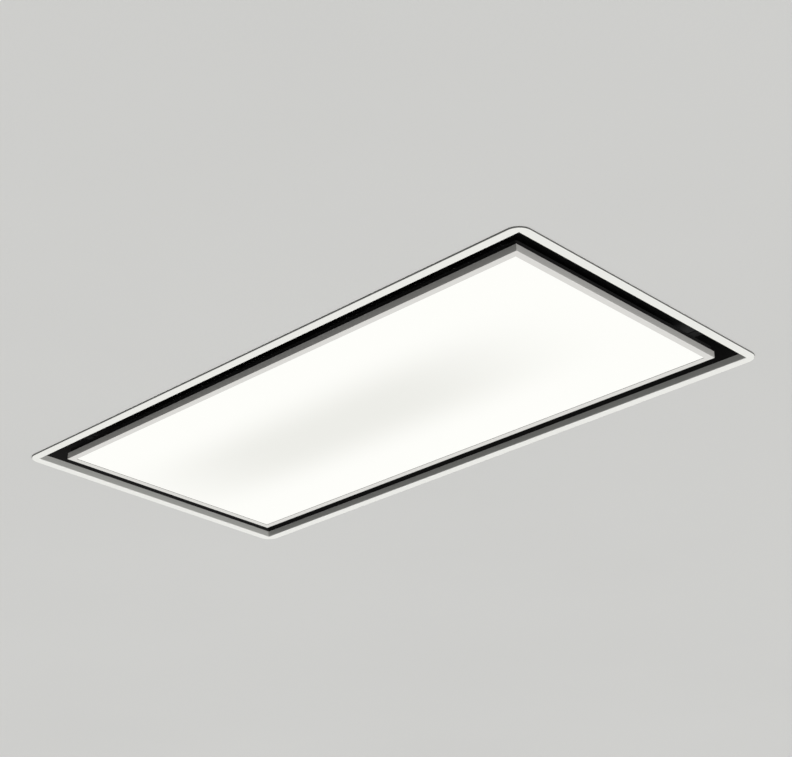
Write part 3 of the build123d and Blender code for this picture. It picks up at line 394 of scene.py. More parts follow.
@dataclass(frozen=True)
class ShadedCoat(PowderCoat):
    """Powder coat, full on the face seen from below, with painted shade on upright walls and round the
    outer edge.

    Attributes:
        wall_turn: Slopes between which the painted shade on the inner walls sets in.
        wall_shade_share: Brightness of the inner walls under their painted shade as a share of the full
            coat.
        edge_turn: Slopes between which the painted shade round the outer edge sets in.
        edge_shade_share: Brightness of the outer edge under its painted shade as a share of the full
            coat.
        edge_from: Half length and half width beyond which the outer edge lies, in metres.
        edge_blend: Width of the change to the outer edge in metres.
    """

    wall_turn: Span = (-0.92, -0.25)
    wall_shade_share: float = 0.75
    edge_turn: Span = (-0.99, -0.55)
    edge_shade_share: float = 0.12
    edge_from: Span = (493.0 * MM, 243.0 * MM)
    edge_blend: float = 1.0 * MM

    def paint(self, skin: Surface) -> Socket:
        """Mix the paint's colour and darken it on the walls and round the outer edge as painted shade.

        Args:
            skin: The surface.

        Returns:
            The colour.
        """
        along, across, _ = skin.axes()
        past_end = skin.calc("SUBTRACT", skin.calc("ABSOLUTE", along), self.edge_from[0])
        past_side = skin.calc("SUBTRACT", skin.calc("ABSOLUTE", across), self.edge_from[1])
        outer = skin.ramp(skin.calc("MAXIMUM", past_end, past_side), 0.0, self.edge_blend)
        inner = skin.calc("SUBTRACT", 1.0, outer)
        # Painted shade: the colour darkens on upright inner walls and on the outer edge.
        slope = skin.slope()
        wall = skin.between(skin.ramp(slope, *self.wall_turn), 1.0, self.wall_shade_share)
        edge = skin.between(skin.ramp(slope, *self.edge_turn), 1.0, self.edge_shade_share)
        share = skin.calc("ADD", skin.calc("MULTIPLY", outer, edge), skin.calc("MULTIPLY", inner, wall))
        return skin.darken(super().paint(skin), share)


@dataclass(frozen=True)
class MattBlack(Skin):
    """Matt black stove paint that swallows the light inside the hood."""

    sheen: float = 0.85
    sheen_drift: Span = (-0.07, 0.07)
    sheen_waves: float = 80.0
    clouds: Span = (0.85, 1.15)
    cloud_waves: float = 9.0
    grain_waves: float = 1300.0
    grain_depth: float = 0.04 * MM
    reflectance: float = 0.12


@dataclass(frozen=True)
class MouldedPlastic(Skin):
    """Injection-moulded plastic with faint flow marks and a spark-eroded grain."""

    sheen: float = 0.48
    sheen_drift: Span = (-0.05, 0.07)
    sheen_waves: float = 14.0
    clouds: Span = (0.88, 1.12)
    cloud_waves: float = 14.0
    cloud_detail: Detail = Detail.FINE
    grain_waves: float = 1500.0
    grain_depth: float = 0.04 * MM


@dataclass(frozen=True)
class ZincSpangle:
    """Hot-dip galvanised sheet with a fine, low spangle and faint rolling lines.

    Attributes:
        name: The finish's name.
        colour: Linear colour of the zinc.
        spangles: Spangles per metre.
        spangle_share: Weight of the spangles in the brightness.
        frost_waves: Waves of the frosty skin per metre.
        cloud_waves: Waves of the rolling lines per metre.
        cloud_share: Weight of the skin and of the lines in the brightness.
        tones: Brightness of the darkest and of the brightest zinc as shares of the colour.
        tone_reach: Pattern values at which those are reached.
        roughness: Lowest and highest roughness of a spangle.
        frost_depth: Height of the frosty skin in metres.
        frost_strength: Share of that height that shows.
    """

    name: str
    colour: Rgb
    spangles: float = 150.0
    spangle_share: float = 0.5
    frost_waves: float = 420.0
    cloud_waves: float = 5.0
    cloud_share: float = 0.25
    tones: Span = (0.935, 1.065)
    tone_reach: Span = (0.15, 0.85)
    roughness: Span = (0.4, 0.49)
    frost_depth: float = 0.04 * MM
    frost_strength: float = 0.5

    def make(self) -> Material:
        """Build the finish.

        Returns:
            Its material.
        """
        zinc = Surface(self.name)
        zinc.fix("Metallic", 1.0)
        cells = zinc.node("ShaderNodeTexVoronoi")
        cells.inputs["Scale"].default_value = self.spangles
        zinc.join(zinc.place, cells.inputs["Vector"])
        level = zinc.node("ShaderNodeSeparateColor")
        zinc.join(cells.outputs["Color"], level.inputs["Color"])
        frost = zinc.noise(self.frost_waves, Detail.FINE)
        clouds = zinc.noise(self.cloud_waves, Detail.FINE, Lay.ALONG_LENGTH)
        bright = zinc.calc(
            "ADD", zinc.calc("MULTIPLY", level.outputs["Red"], self.spangle_share),
            zinc.calc("MULTIPLY", zinc.calc("ADD", frost, clouds), self.cloud_share))
        zinc.colour(zinc.tones(bright, self.colour, self.tones, self.tone_reach))
        zinc.gloss(level.outputs["Green"], self.roughness)
        zinc.relief(frost, self.frost_depth, self.frost_strength)
        return zinc.material


@dataclass(frozen=True)
class DrawnMetal:
    """Bare or plated metal with drawing lines along one direction.

    Attributes:
        name: The finish's name.
        colour: Linear colour.
        lay: Direction of the lines.
        line_waves: Lines per metre across the direction.
        polish: Roughness of the metal.
        polish_drift: How far the lines' roughness strays from that.
        tones: Brightness of the lines as shares of the colour.
        tone_reach: Pattern values at which those are reached.
        line_depth: Height of the lines in metres.
        line_strength: Share of that height that shows.
    """

    name: str
    colour: Rgb
    lay: Lay = Lay.EVEN
    line_waves: float = 700.0
    polish: float = 0.32
    polish_drift: Span = (-0.07, 0.1)
    tones: Span = (0.86, 1.1)
    tone_reach: Span = (0.3, 0.7)
    line_depth: float = 0.03 * MM
    line_strength: float = 0.6

    def make(self) -> Material:
        """Build the finish.

        Returns:
            Its material.
        """
        metal = Surface(self.name)
        metal.fix("Metallic", 1.0)
        lines = metal.noise(self.line_waves, Detail.FINE, self.lay)
        metal.colour(metal.tones(lines, self.colour, self.tones, self.tone_reach))
        metal.gloss(lines, around(self.polish, self.polish_drift))
        metal.relief(lines, self.line_depth, self.line_strength)
        return metal.material


@dataclass(frozen=True)
class ExpandedMesh:
    """Expanded aluminium mesh: bright strands round diamond openings painted dark as shade.

    Attributes:
        name: The finish's name.
        strand: Linear colour of the strands.
        opening: Linear colour of the openings, a painted shade for the dim depth behind the mesh.
        pitch: From one strand to the next, in metres.
        slant: Angle of the strands to the Y axis in radians.
        strand_edge: Pattern values where an opening ends and where a strand begins.
        roughness: Roughness in an opening and on a strand.
        strand_depth: Height of the strands in metres.
    """

    name: str
    strand: Rgb
    opening: Rgb
    pitch: float = 8.2205 * MM
    slant: float = 0.55
    strand_edge: Span = (0.62, 0.8)
    roughness: Span = (0.7, 0.35)
    strand_depth: float = 0.6 * MM

    def make(self) -> Material:
        """Build the finish.

        Returns:
            Its material.
        """
        mesh = Surface(self.name)
        strands = []
        for turn in (self.slant, -self.slant):
            mapping = mesh.node("ShaderNodeMapping")
            mapping.inputs["Rotation"].default_value = (0.0, 0.0, turn)
            mesh.join(mesh.place, mapping.inputs["Vector"])
            wave = mesh.node("ShaderNodeTexWave", bands_direction="X")
            wave.inputs["Scale"].default_value = math.tau / (WAVE_TURN * self.pitch)
            mesh.join(mapping.outputs["Vector"], wave.inputs["Vector"])
            strands.append(wave.outputs["Fac"])
        weave = mesh.calc("MAXIMUM", *strands)
        # Painted shade: the openings get a near-black colour in place of the dim depth seen through
        # them.
        mesh.colour(mesh.tint(weave, self.opening, self.strand, self.strand_edge))
        mesh.join(weave, mesh.body.inputs["Metallic"])
        mesh.gloss(weave, self.roughness)
        mesh.relief(weave, self.strand_depth)
        return mesh.material


@dataclass(frozen=True)
class CircuitBoard:
    """Solder resist over copper tracks.

    Attributes:
        name: The finish's name.
        resist: Linear colour of the resist.
        track: Linear colour where a track lies under it.
        worn: Brightness of the most worn field as a share of the resist's.
        units: Units of the brick pattern per metre.
        track_half: Half width of a track in those units.
        track_shift: Shift of every second row of bricks as a share of their width.
        row_squeeze: Width of the bricks in every second row as a share of the others'.
        roughness: Lowest and highest roughness.
        sheen_waves: Changes of the roughness per metre.
        track_depth: Height of the tracks in metres.
    """

    name: str
    resist: Rgb
    track: Rgb
    worn: float = 0.85
    units: float = 60.0
    track_half: float = 0.06
    track_shift: float = 0.35
    row_squeeze: float = 0.7
    roughness: Span = (0.26, 0.4)
    sheen_waves: float = 90.0
    track_depth: float = 0.04 * MM

    def make(self) -> Material:
        """Build the finish.

        Returns:
            Its material.
        """
        board = Surface(self.name)
        tracks = board.node("ShaderNodeTexBrick", offset=self.track_shift, squash=self.row_squeeze)
        tracks.inputs["Scale"].default_value = self.units
        tracks.inputs["Mortar Size"].default_value = self.track_half
        tracks.inputs["Color1"].default_value = (*self.resist, 1.0)
        tracks.inputs["Color2"].default_value = (*shade(self.resist, self.worn), 1.0)
        tracks.inputs["Mortar"].default_value = (*self.track, 1.0)
        board.join(board.place, tracks.inputs["Vector"])
        board.colour(tracks.outputs["Color"])
        board.gloss(board.noise(self.sheen_waves), self.roughness)
        board.relief(tracks.outputs["Fac"], self.track_depth)
        return board.material


@dataclass(frozen=True)
class OpalGlow:
    """Opal sheet lit from its four edges: brightest along them and softer in the middle.

    Attributes:
        name: The finish's name.
        bright: Linear colour of the light near the edges.
        soft: Linear colour of the light in the middle.
        middle: Place of the softest light along the sheet in metres.
        core: Half length in metres of the part that the light from the ends doesn't reach.
        reach: Distances in metres from the middle at which the ends' and the sides' light is full.
        unlit: Linear levels of the sheet without its light.
        speckle_waves: Changes of those levels per metre.
        roughness: Lowest and highest roughness.
        sheen_waves: Changes of the roughness per metre.
        skin_waves: Waves of the skin per metre.
        skin_depth: Height of the skin in metres.
    """

    name: str
    bright: Rgb
    soft: Rgb
    middle: float
    core: float
    reach: Span
    unlit: Span = (0.03, 0.035)
    speckle_waves: float = 40.0
    roughness: Span = (0.5, 0.6)
    sheen_waves: float = 300.0
    skin_waves: float = 1200.0
    skin_depth: float = 0.02 * MM

    def make(self) -> Material:
        """Build the finish.

        Returns:
            Its material.
        """
        opal = Surface(self.name)
        along, across, _ = opal.axes()
        from_middle = opal.calc("ABSOLUTE", opal.calc("SUBTRACT", along, self.middle))
        lit_by_ends = opal.ramp(from_middle, self.core, self.reach[0])
        lit_by_sides = opal.ramp(opal.calc("ABSOLUTE", across), 0.0, self.reach[1])
        dim = opal.calc("MULTIPLY", opal.calc("SUBTRACT", 1.0, lit_by_ends),
                        opal.calc("SUBTRACT", 1.0, lit_by_sides))
        opal.join(opal.tint(dim, self.bright, self.soft), opal.body.inputs["Emission Color"])
        opal.fix("Emission Strength", 1.0)
        opal.fix("Specular IOR Level", 0.0)
        dark, pale = self.unlit
        opal.colour(opal.tint(opal.noise(self.speckle_waves), grey(dark), grey(pale)))
        opal.gloss(opal.noise(self.sheen_waves), self.roughness)
        opal.relief(opal.noise(self.skin_waves, Detail.SMOOTH), self.skin_depth)
        return opal.material


@dataclass(frozen=True)
class Plaster:
    """Plain painted plaster of the stage.

    Attributes:
        name: The finish's name.
        colour: Linear colour.
        tones: Brightness of its clouds as shares of the colour.
        cloud_waves: Clouds per metre.
        roughness: Roughness of the paint.
        grain_waves: Grains per metre.
        grain_depth: Height of the grains in metres.
        grain_strength: Share of that height that shows.
    """

    name: str
    colour: Rgb
    tones: Span = (0.97, 1.03)
    cloud_waves: float = 1.4
    roughness: float = 0.9
    grain_waves: float = 180.0
    grain_depth: float = 0.3 * MM
    grain_strength: float = 0.4

    def make(self) -> Material:
        """Build the finish.

        Returns:
            Its material.
        """
        wall = Surface(self.name)
        wall.colour(wall.tones(wall.noise(self.cloud_waves, Detail.ROUGH), self.colour, self.tones))
        wall.fix("Roughness", self.roughness)
        wall.relief(wall.noise(self.grain_waves, Detail.ROUGH), self.grain_depth, self.grain_strength)
        return wall.material


def dress(finish: Material, *nodes: str) -> None:
    """Give CAD pieces their finish.

    Args:
        finish: The material for all of their slots.
        nodes: The pieces' names.
    """
    for node in nodes:
        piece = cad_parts[node]
        if not piece.material_slots:
            piece.data.materials.append(finish)
        for slot in piece.material_slots:
            slot.material = finish
        LOG.info("dressed %s in %s", node, finish.name)


def solids_of(node: str) -> list[tuple[Vector, Vector]]:
    """Find the separate solids of a CAD piece.

    Args:
        node: The piece's name.

    Returns:
        The lowest and highest corner of each solid, in the order of their places.
    """
    work = bmesh.new()
    work.from_mesh(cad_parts[node].data)
    bmesh.ops.remove_doubles(work, verts=work.verts, dist=WELD)
    left = set(work.verts)
    boxes = []
    while left:
        reach = [left.pop()]
        found = list(reach)
        while reach:
            for edge in reach.pop().link_edges:
                fresh = left.intersection(edge.verts)
                left -= fresh
                reach.extend(fresh)
                found.extend(fresh)
        low = Vector(min(vert.co[axis] for vert in found) for axis in range(3))
        high = Vector(max(vert.co[axis] for vert in found) for axis in range(3))
        boxes.append((low, high))
    work.free()
    return sorted(boxes, key=lambda box: tuple(box[0]))


def as_mesh(name: str, work: bmesh.types.BMesh) -> bpy.types.Mesh:
    """Write a bmesh into a new mesh and free it.

    Args:
        name: The mesh's name.
        work: The bmesh.

    Returns:
        The mesh.
    """
    data = bpy.data.meshes.new(name)
    work.to_mesh(data)
    work.free()
    return data


def add_object(name: str, data: bpy.types.ID) -> bpy.types.Object:
    """Put data into the scene as an object.

    Args:
        name: The object's name.
        data: Its mesh, camera or light.

    Returns:
        The object.
    """
    made = bpy.data.objects.new(name, data)
    bpy.context.scene.collection.objects.link(made)
    return made


def smooth_object(name: str, work: bmesh.types.BMesh, finish: Material) -> bpy.types.Object:
    """Turn a bmesh into an object that is shaded smooth between its sharp edges.

    Args:
        name: The object's name.
        work: The bmesh, which is freed.
        finish: Its material.

    Returns:
        The object.
    """
    data = as_mesh(name, work)
    data.materials.append(finish)
    data.shade_smooth()
    data.set_sharp_from_angle(angle=SHARP_ANGLE)
    return add_object(name, data)


def turned(outline: list[Span], facets: int) -> bmesh.types.BMesh:
    """Turn an outline about the Z axis into a closed shape.

    Args:
        outline: Radius and height of each step, from the rim of the foot to the axis at the top.
        facets: Number of facets round the axis.

    Returns:
        The bmesh, which the caller frees.
    """
    work = bmesh.new()
    turns = [math.tau * step / facets for step in range(facets)]
    rows = [[work.verts.new((out * math.cos(turn), out * math.sin(turn), rise)) for turn in turns]
            for out, rise in outline[:-1]]
    tip = work.verts.new((0.0, 0.0, outline[-1][1]))
    work.faces.new(list(reversed(rows[0])))
    for step in range(facets):
        after = (step + 1) % facets
        for lower, upper in zip(rows, rows[1:]):
            work.faces.new((lower[step], lower[after], upper[after], upper[step]))
        work.faces.new((rows[-1][step], rows[-1][after], tip))
    return work


@dataclass
class TrimAndPlenum:
    """The white flange under the ceiling and the dark throat with what hangs in it.

    Attributes:
        trim: Finish of the flange, with painted shade on its inner walls and round its outer edge.
        collar: Finish of the throat's walls.
        deck: Finish of the sheet over the throat, a black lifted a little as painted light, and of the
        brackets under it, kept black as painted shade.
    """

    # The flange's inner walls and outer edge carry painted shade.
    trim: ShadedCoat = ShadedCoat("trim_white", (0.825, 0.825, 0.787), sheen=0.4)
    collar: MattBlack = MattBlack("plenum_black", grey(0.02))
    # Painted light: the deck's black is a little lighter than the collar's to lift the dim deck.
    deck: MattBlack = MattBlack("deck_black", grey(0.034))

    def build(self) -> None:
        """Dress the flange, the collar, the deck and the panel's brackets."""
        dress(self.trim.make(), "trim_frame")
        dress(self.collar.make(), "plenum_collar")
        # Painted shade: the panel's brackets take the deck's black so they stay dark in the throat.
        dress(self.deck.make(), "filter_deck", "hinge_bracket_left", "hinge_bracket_right",
              "catch_bracket_left", "catch_bracket_right")


@dataclass
class LightPanel:
    """The hinged panel with its rim, opal sheet, tray and fittings.

    Attributes:
        opal: Finish of the lit sheet.
        rim: Finish of the frame, with painted shade on the walls of its window.
        tray: Finish of the tray.
        foil: Finish of the reflector.
        strip: Finish of the light strips.
        fittings: Finish of the hinge leaves, pins and strike plates.
        magnet: Finish of the catch magnets.
    """

    opal: OpalGlow = OpalGlow("opal_glow", bright=(0.96, 0.96, 0.925), soft=(0.815, 0.815, 0.775),
                              middle=-70.0 * MM, core=60.0 * MM, reach=(540.0 * MM, 150.0 * MM))
    # Painted shade on the rim's window walls.
    rim: ShadedCoat = ShadedCoat("panel_grey", (0.70, 0.69, 0.66), sheen=0.38, wall_shade_share=0.2,
                                 edge_shade_share=1.0, edge_from=(450.0 * MM, 200.0 * MM))
    tray: MattBlack = MattBlack("tray_black", grey(0.022))
    foil: MouldedPlastic = MouldedPlastic("reflector_white", (0.86, 0.86, 0.84), sheen=0.5)
    strip: CircuitBoard = CircuitBoard("strip_board", resist=(0.55, 0.55, 0.5), track=(0.4, 0.36, 0.25))
    fittings: DrawnMetal = DrawnMetal("zinc_fittings", (0.62, 0.63, 0.65), Lay.ALONG_LENGTH)
    magnet: DrawnMetal = DrawnMetal("nickel_magnet", (0.66, 0.65, 0.62), polish=0.16)

    def build(self) -> None:
        """Dress the panel's pieces."""
        dress(self.opal.make(), "diffuser")
        dress(self.rim.make(), "panel_frame")
        dress(self.tray.make(), "panel_tray")
        dress(self.foil.make(), "reflector")
        dress(self.strip.make(), "led_strips")
        dress(self.fittings.make(), "hinge_leaf_left", "hinge_leaf_right", "hinge_pins", "strike_plates")
        dress(self.magnet.make(), "catch_magnets")


@dataclass
class GreaseFilters:
    """The two filters with their frames, pleated meshes and latches.

    Attributes:
        frame_metal: Finish of the frames.
        mesh: Finish of the pleated meshes.
        latch: Finish of the latches.
    """

    frame_metal: DrawnMetal = DrawnMetal("filter_aluminium", (0.8, 0.81, 0.82), Lay.ALONG_LENGTH)
    # The openings' near-black is painted shade.
    mesh: ExpandedMesh = ExpandedMesh("filter_mesh", strand=(0.74, 0.75, 0.76), opening=grey(0.03))
    latch: MouldedPlastic = MouldedPlastic("latch_plastic", (0.045, 0.045, 0.048))

    def build(self) -> None:
        """Dress both filters."""
        dress(self.frame_metal.make(), "filter_frame_left", "filter_frame_right")
        dress(self.mesh.make(), "filter_mesh_left", "filter_mesh_right")
        dress(self.latch.make(), "filter_latch_left", "filter_latch_right")


@dataclass
class BlowerBox:
    """The galvanised casing with the blower, the duct collar and the electrics.

    Attributes:
        sheet: Finish of the casing, the scroll and the suspension brackets.
        plate: Finish of the spider, the shaft, the flaps' pin and the control box.
        plastic: Finish of the duct collar, the flaps and the cable gland.
        wheel: Finish of the impeller.
        motor: Finish of the motor.
        board: Finish of the control board.
        driver: Finish of the light's driver.
    """

    sheet: ZincSpangle = ZincSpangle("casing_zinc", (0.56, 0.58, 0.6))
    plate: DrawnMetal = DrawnMetal("plated_steel", (0.6, 0.6, 0.6), Lay.ALONG_WIDTH)
    plastic: MouldedPlastic = MouldedPlastic("collar_black", (0.022, 0.022, 0.024), sheen=0.42)
    wheel: DrawnMetal = DrawnMetal("impeller_steel", (0.5, 0.51, 0.52), Lay.ALONG_WIDTH, polish=0.36)
    motor: PowderCoat = PowderCoat("motor_grey", (0.17, 0.18, 0.19), sheen=0.36)
    board: CircuitBoard = CircuitBoard("board_green", resist=(0.02, 0.13, 0.05), track=(0.06, 0.26, 0.1))
    driver: MouldedPlastic = MouldedPlastic("driver_white", (0.78, 0.78, 0.75), sheen=0.45)

    def build(self) -> None:
        """Dress the casing and what it holds."""
        walls = [f"casing_{wall}" for wall in ("front", "rear", "left", "right", "top")]
        brackets = [f"suspension_bracket_{end}_{side}"
                    for end in ("front", "rear") for side in ("left", "right")]
        dress(self.sheet.make(), *walls, *brackets,
              "scroll_wrapper", "scroll_plate_front", "scroll_plate_rear")
        dress(self.plastic.make(), "duct_collar", "flap_left", "flap_right", "cable_gland")
        dress(self.plate.make(), "motor_spider", "motor_shaft", "flap_pin", "control_box",
              "control_cover")
        dress(self.wheel.make(), "impeller_disc", "impeller_blades", "impeller_rings")
        dress(self.motor.make(), "motor")
        dress(self.board.make(), "control_board")
        dress(self.driver.make(), "led_driver")


@dataclass
class Screws:
    """Pan-head screws with a cross recess, in place of the plain ones.

    Attributes:
        plating: Finish of the screws.
        facets: Number of facets round a head.
        rings: Steps of a head's dome.
        head_height: Height of a head.
        rim_share: Height of a head's upright rim as a share of the head's.
        recess_width: Width of the cross's arms.
        recess_share: Reach of the arms as a share of the head's radius.
        recess_depth: Depth of the cross.
        recess_taper: Size of the cross at its bottom as a share of its top.
        recess_turn: Turn from one screw's cross to the next one's, in degrees.
        cutter_rise: Height of the cross's cutter above the seat as a share of the head's.
        shank_radius: Radius of a shank.
        shank_facets: Number of facets round a shank.
        groups: The CAD pieces that are replaced.
    """

    plating: DrawnMetal = DrawnMetal("screw_plating", (0.72, 0.72, 0.7), polish=0.22)
    facets: int = 20
    rings: int = 5
    head_height: float = 2.4 * MM
    rim_share: float = 0.3
    recess_width: float = 0.9 * MM
    recess_share: float = 0.56
    recess_depth: float = 1.3 * MM
    recess_taper: float = 0.7
    recess_turn: float = 37.0
    cutter_rise: float = 1.2
    shank_radius: float = 2.0 * MM
    shank_facets: int = 12
    groups: tuple[str, ...] = ("casing_screws", "bracket_screws", "collar_screws")

    def head(self, radius: float) -> bpy.types.Mesh:
        """Make one screw head about the origin, with its seat at zero height.

        Args:
            radius: The head's radius.

        Returns:
            The head's mesh.
        """
        outline = [(radius, 0.0), (radius, self.rim_share * self.head_height)]
        for ring in range(1, self.rings + 1):
            angle = math.pi / 2 * ring / self.rings
            rise = self.rim_share + (1.0 - self.rim_share) * math.sin(angle)
            outline.append((radius * math.cos(angle), rise * self.head_height))
        blank = add_object("screw_head_blank", as_mesh("screw_head_blank", turned(outline, self.facets)))
        cutter = self.cross(radius)
        cut = blank.modifiers.new("recess", "BOOLEAN")
        cut.operation = "DIFFERENCE"
        cut.solver = "EXACT"
        cut.object = cutter
        depsgraph = bpy.context.evaluated_depsgraph_get()
        head = bpy.data.meshes.new_from_object(blank.evaluated_get(depsgraph))
        for spare in (blank, cutter):
            bpy.data.objects.remove(spare)
        return head

    def cross(self, radius: float) -> bpy.types.Object:
        """Make the tapered cross that cuts the recess.

        Args:
            radius: The head's radius.

        Returns:
            The cutter.
        """
        work = bmesh.new()
        reach, half = radius * self.recess_share, self.recess_width / 2
        base = self.head_height - self.recess_depth
        top = self.head_height * self.cutter_rise
        plan = [(half, half), (half, reach), (-half, reach), (-half, half), (-reach, half),
                (-reach, -half), (-half, -half), (-half, -reach), (half, -reach), (half, -half),
                (reach, -half), (reach, half)]
        lower = [work.verts.new((x * self.recess_taper, y * self.recess_taper, base)) for x, y in plan]
        upper = [work.verts.new((x, y, top)) for x, y in plan]
        work.faces.new(list(reversed(lower)))
        work.faces.new(upper)
        for step in range(len(plan)):
            after = (step + 1) % len(plan)
            work.faces.new((lower[step], lower[after], upper[after], upper[step]))
        bmesh.ops.recalc_face_normals(work, faces=work.faces)
        return add_object("recess_cutter", as_mesh("recess_cutter", work))

    def shank(self, work: bmesh.types.BMesh, low: Vector, seat: Vector) -> None:
        """Add a screw's shank below its seat.

        Args:
            work: The bmesh that takes the shank.
            low: The screw's lowest corner.
            seat: Middle of the head's seat.
        """
        made = bmesh.ops.create_cone(work, cap_ends=True, segments=self.shank_facets,
                                     radius1=self.shank_radius, radius2=self.shank_radius,
                                     depth=seat.z - low.z)
        bmesh.ops.translate(work, verts=made["verts"], vec=(seat.x, seat.y, (seat.z + low.z) / 2))

    def build(self) -> None:
        """Make each group of screws where the CAD has it."""
        finish = self.plating.make()
        for group in self.groups:
            boxes = solids_of(group)
            low, high = boxes[0]
            head = self.head((high.x - low.x) / 2)
            work = bmesh.new()
            for number, (low, high) in enumerate(boxes):
                middle = (low + high) / 2
                seat = Vector((middle.x, middle.y, high.z - self.head_height))
                turn = math.radians(self.recess_turn * number)
                placed = head.copy()
                placed.transform(Matrix.Translation(seat) @ Matrix.Rotation(turn, 4, "Z"))
                work.from_mesh(placed)
                self.shank(work, low, seat)
            piece = smooth_object(f"{group}_dressed", work, finish)
            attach(piece, "hood")
            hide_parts(group)
            LOG.info("made %d screws of %s", len(boxes), group)


@dataclass
class Rivets:
    """Blind rivets of the casing's corners and of the light panel's hinge leaves.

    Attributes:
        plating: Finish of the rivets.
        facets: Number of facets round a head.
        radius: Radius of a head.
        height: Height of a head.
        dome: Radius and height of the dome's steps as shares of the head's.
        mandrel: Radius of the hole that the mandrel leaves.
        mandrel_lip: Radius of the lip round that hole as a share of the hole's.
        mandrel_floor: Height of the hole's floor as a share of the head's.
        rows: Rivets at each end of a long wall.
        edge_inset: From a long wall's end to its rivets.
        lowest: Height of the lowest rivet above the ceiling's surface.
        top_inset: From a long wall's upper edge to its highest rivet.
        leaf_sheet: Thickness of a hinge leaf.
        leaf_inset: From a leaf's free corners to its rivets.
    """

    plating: DrawnMetal = DrawnMetal("rivet_aluminium", (0.7, 0.71, 0.72), polish=0.26)
    facets: int = 20
    radius: float = 3.2 * MM
    height: float = 1.0 * MM
    dome: tuple[Span, ...] = ((1.0, 0.0), (1.0, 0.25), (0.9, 0.65), (0.66, 0.92))
    mandrel: float = 1.1 * MM
    mandrel_lip: float = 1.2
    mandrel_floor: float = 0.6
    rows: int = 4
    edge_inset: float = 8.2 * MM
    lowest: float = 85.0 * MM
    top_inset: float = 22.0 * MM
    leaf_sheet: float = 1.5 * MM
    leaf_inset: float = 7.5 * MM

    def head(self) -> bpy.types.Mesh:
        """Make one domed head about the origin, with the mandrel's recess in it.

        Returns:
            The head's mesh, standing up along Z.
        """
        floor = self.mandrel_floor * self.height
        outline = [(out * self.radius, rise * self.height) for out, rise in self.dome]
        outline += [(self.mandrel_lip * self.mandrel, self.height), (self.mandrel, floor), (0.0, floor)]
        return as_mesh("rivet_head", turned(outline, self.facets))

    def wall_seats(self) -> list[Matrix]:
        """Find the seats in both long walls, along the casing's four corners.

        Returns:
            Place and turn of each rivet.
        """
        seats = []
        for wall, outward in (("casing_front", -1), ("casing_rear", 1)):
            low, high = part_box(wall)
            face_y = low[1] if outward < 0 else high[1]
            highest = high[2] - self.top_inset
            tilt = Matrix.Rotation(-outward * math.pi / 2, 4, "X")
            for corner_x in (low[0] + self.edge_inset, high[0] - self.edge_inset):
                for row in range(self.rows):
                    rise = self.lowest + (highest - self.lowest) * row / (self.rows - 1)
                    seats.append(Matrix.Translation((corner_x, face_y, rise)) @ tilt)
        return seats

    def leaf_seats(self) -> list[Matrix]:
        """Find the seats on the hinge leaves, near the corners away from the pins.

        Returns:
            Place of each rivet.
        """
        seats = []
        for leaf in ("hinge_leaf_left", "hinge_leaf_right"):
            low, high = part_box(leaf)
            for corner_x in (low[0] + self.leaf_inset, high[0] - self.leaf_inset):
                seats.append(Matrix.Translation((corner_x, low[1] + self.leaf_inset,
                                                 low[2] + self.leaf_sheet)))
        return seats

    def build(self) -> None:
        """Set the rivets of the casing and of the panel."""
        head, finish = self.head(), self.plating.make()
        for name, body, seats in (("corner_rivets", "hood", self.wall_seats()),
                                  ("hinge_rivets", "light_panel", self.leaf_seats())):
            work = bmesh.new()
            for seat in seats:
                placed = head.copy()
                placed.transform(seat)
                work.from_mesh(placed)
            rivets = smooth_object(name, work, finish)
            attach(rivets, body)
            LOG.info("made the %d %s", len(seats), name)


@dataclass(frozen=True)
class PhotoCamera:
    """The photograph's camera, solved from the edges of the flange and of the panel.

    Attributes:
        image_width: Width of the photograph in pixels.
        focal_pixels: Focal length in pixels of the photograph.
        sensor: Width of the sensor in millimetres.
        pitch: Upward tilt in degrees.
        heading: Turn from +Y towards +X in degrees.
        roll: Roll in degrees.
        stand: Place in metres.
    """

    image_width: int = 792
    focal_pixels: float = 1803.7
    sensor: float = 36.0
    pitch: float = 25.848
    heading: float = -44.387
    roll: float = -0.116
    stand: Triple = (1.6845, -1.6710, -1.0983)

    def build(self) -> None:
        """Place the camera and make it the scene's."""
        pitch, heading, roll = (math.radians(angle) for angle in (self.pitch, self.heading, self.roll))
        ahead = Vector((math.sin(heading) * math.cos(pitch), math.cos(heading) * math.cos(pitch),
                        math.sin(pitch)))
        level_right = Vector((math.cos(heading), -math.sin(heading), 0.0))
        level_up = level_right.cross(ahead)
        right = level_right * math.cos(roll) + level_up * math.sin(roll)
        above = level_up * math.cos(roll) - level_right * math.sin(roll)
        data = bpy.data.cameras.new("photo_camera")
        data.sensor_width = self.sensor
        data.sensor_fit = "HORIZONTAL"
        data.lens = self.focal_pixels / self.image_width * self.sensor
        camera = add_object("photo_camera", data)
        axes = Matrix((right, above, -ahead)).transposed().to_4x4()
        camera.matrix_world = Matrix.Translation(self.stand) @ axes
        bpy.context.scene.camera = camera


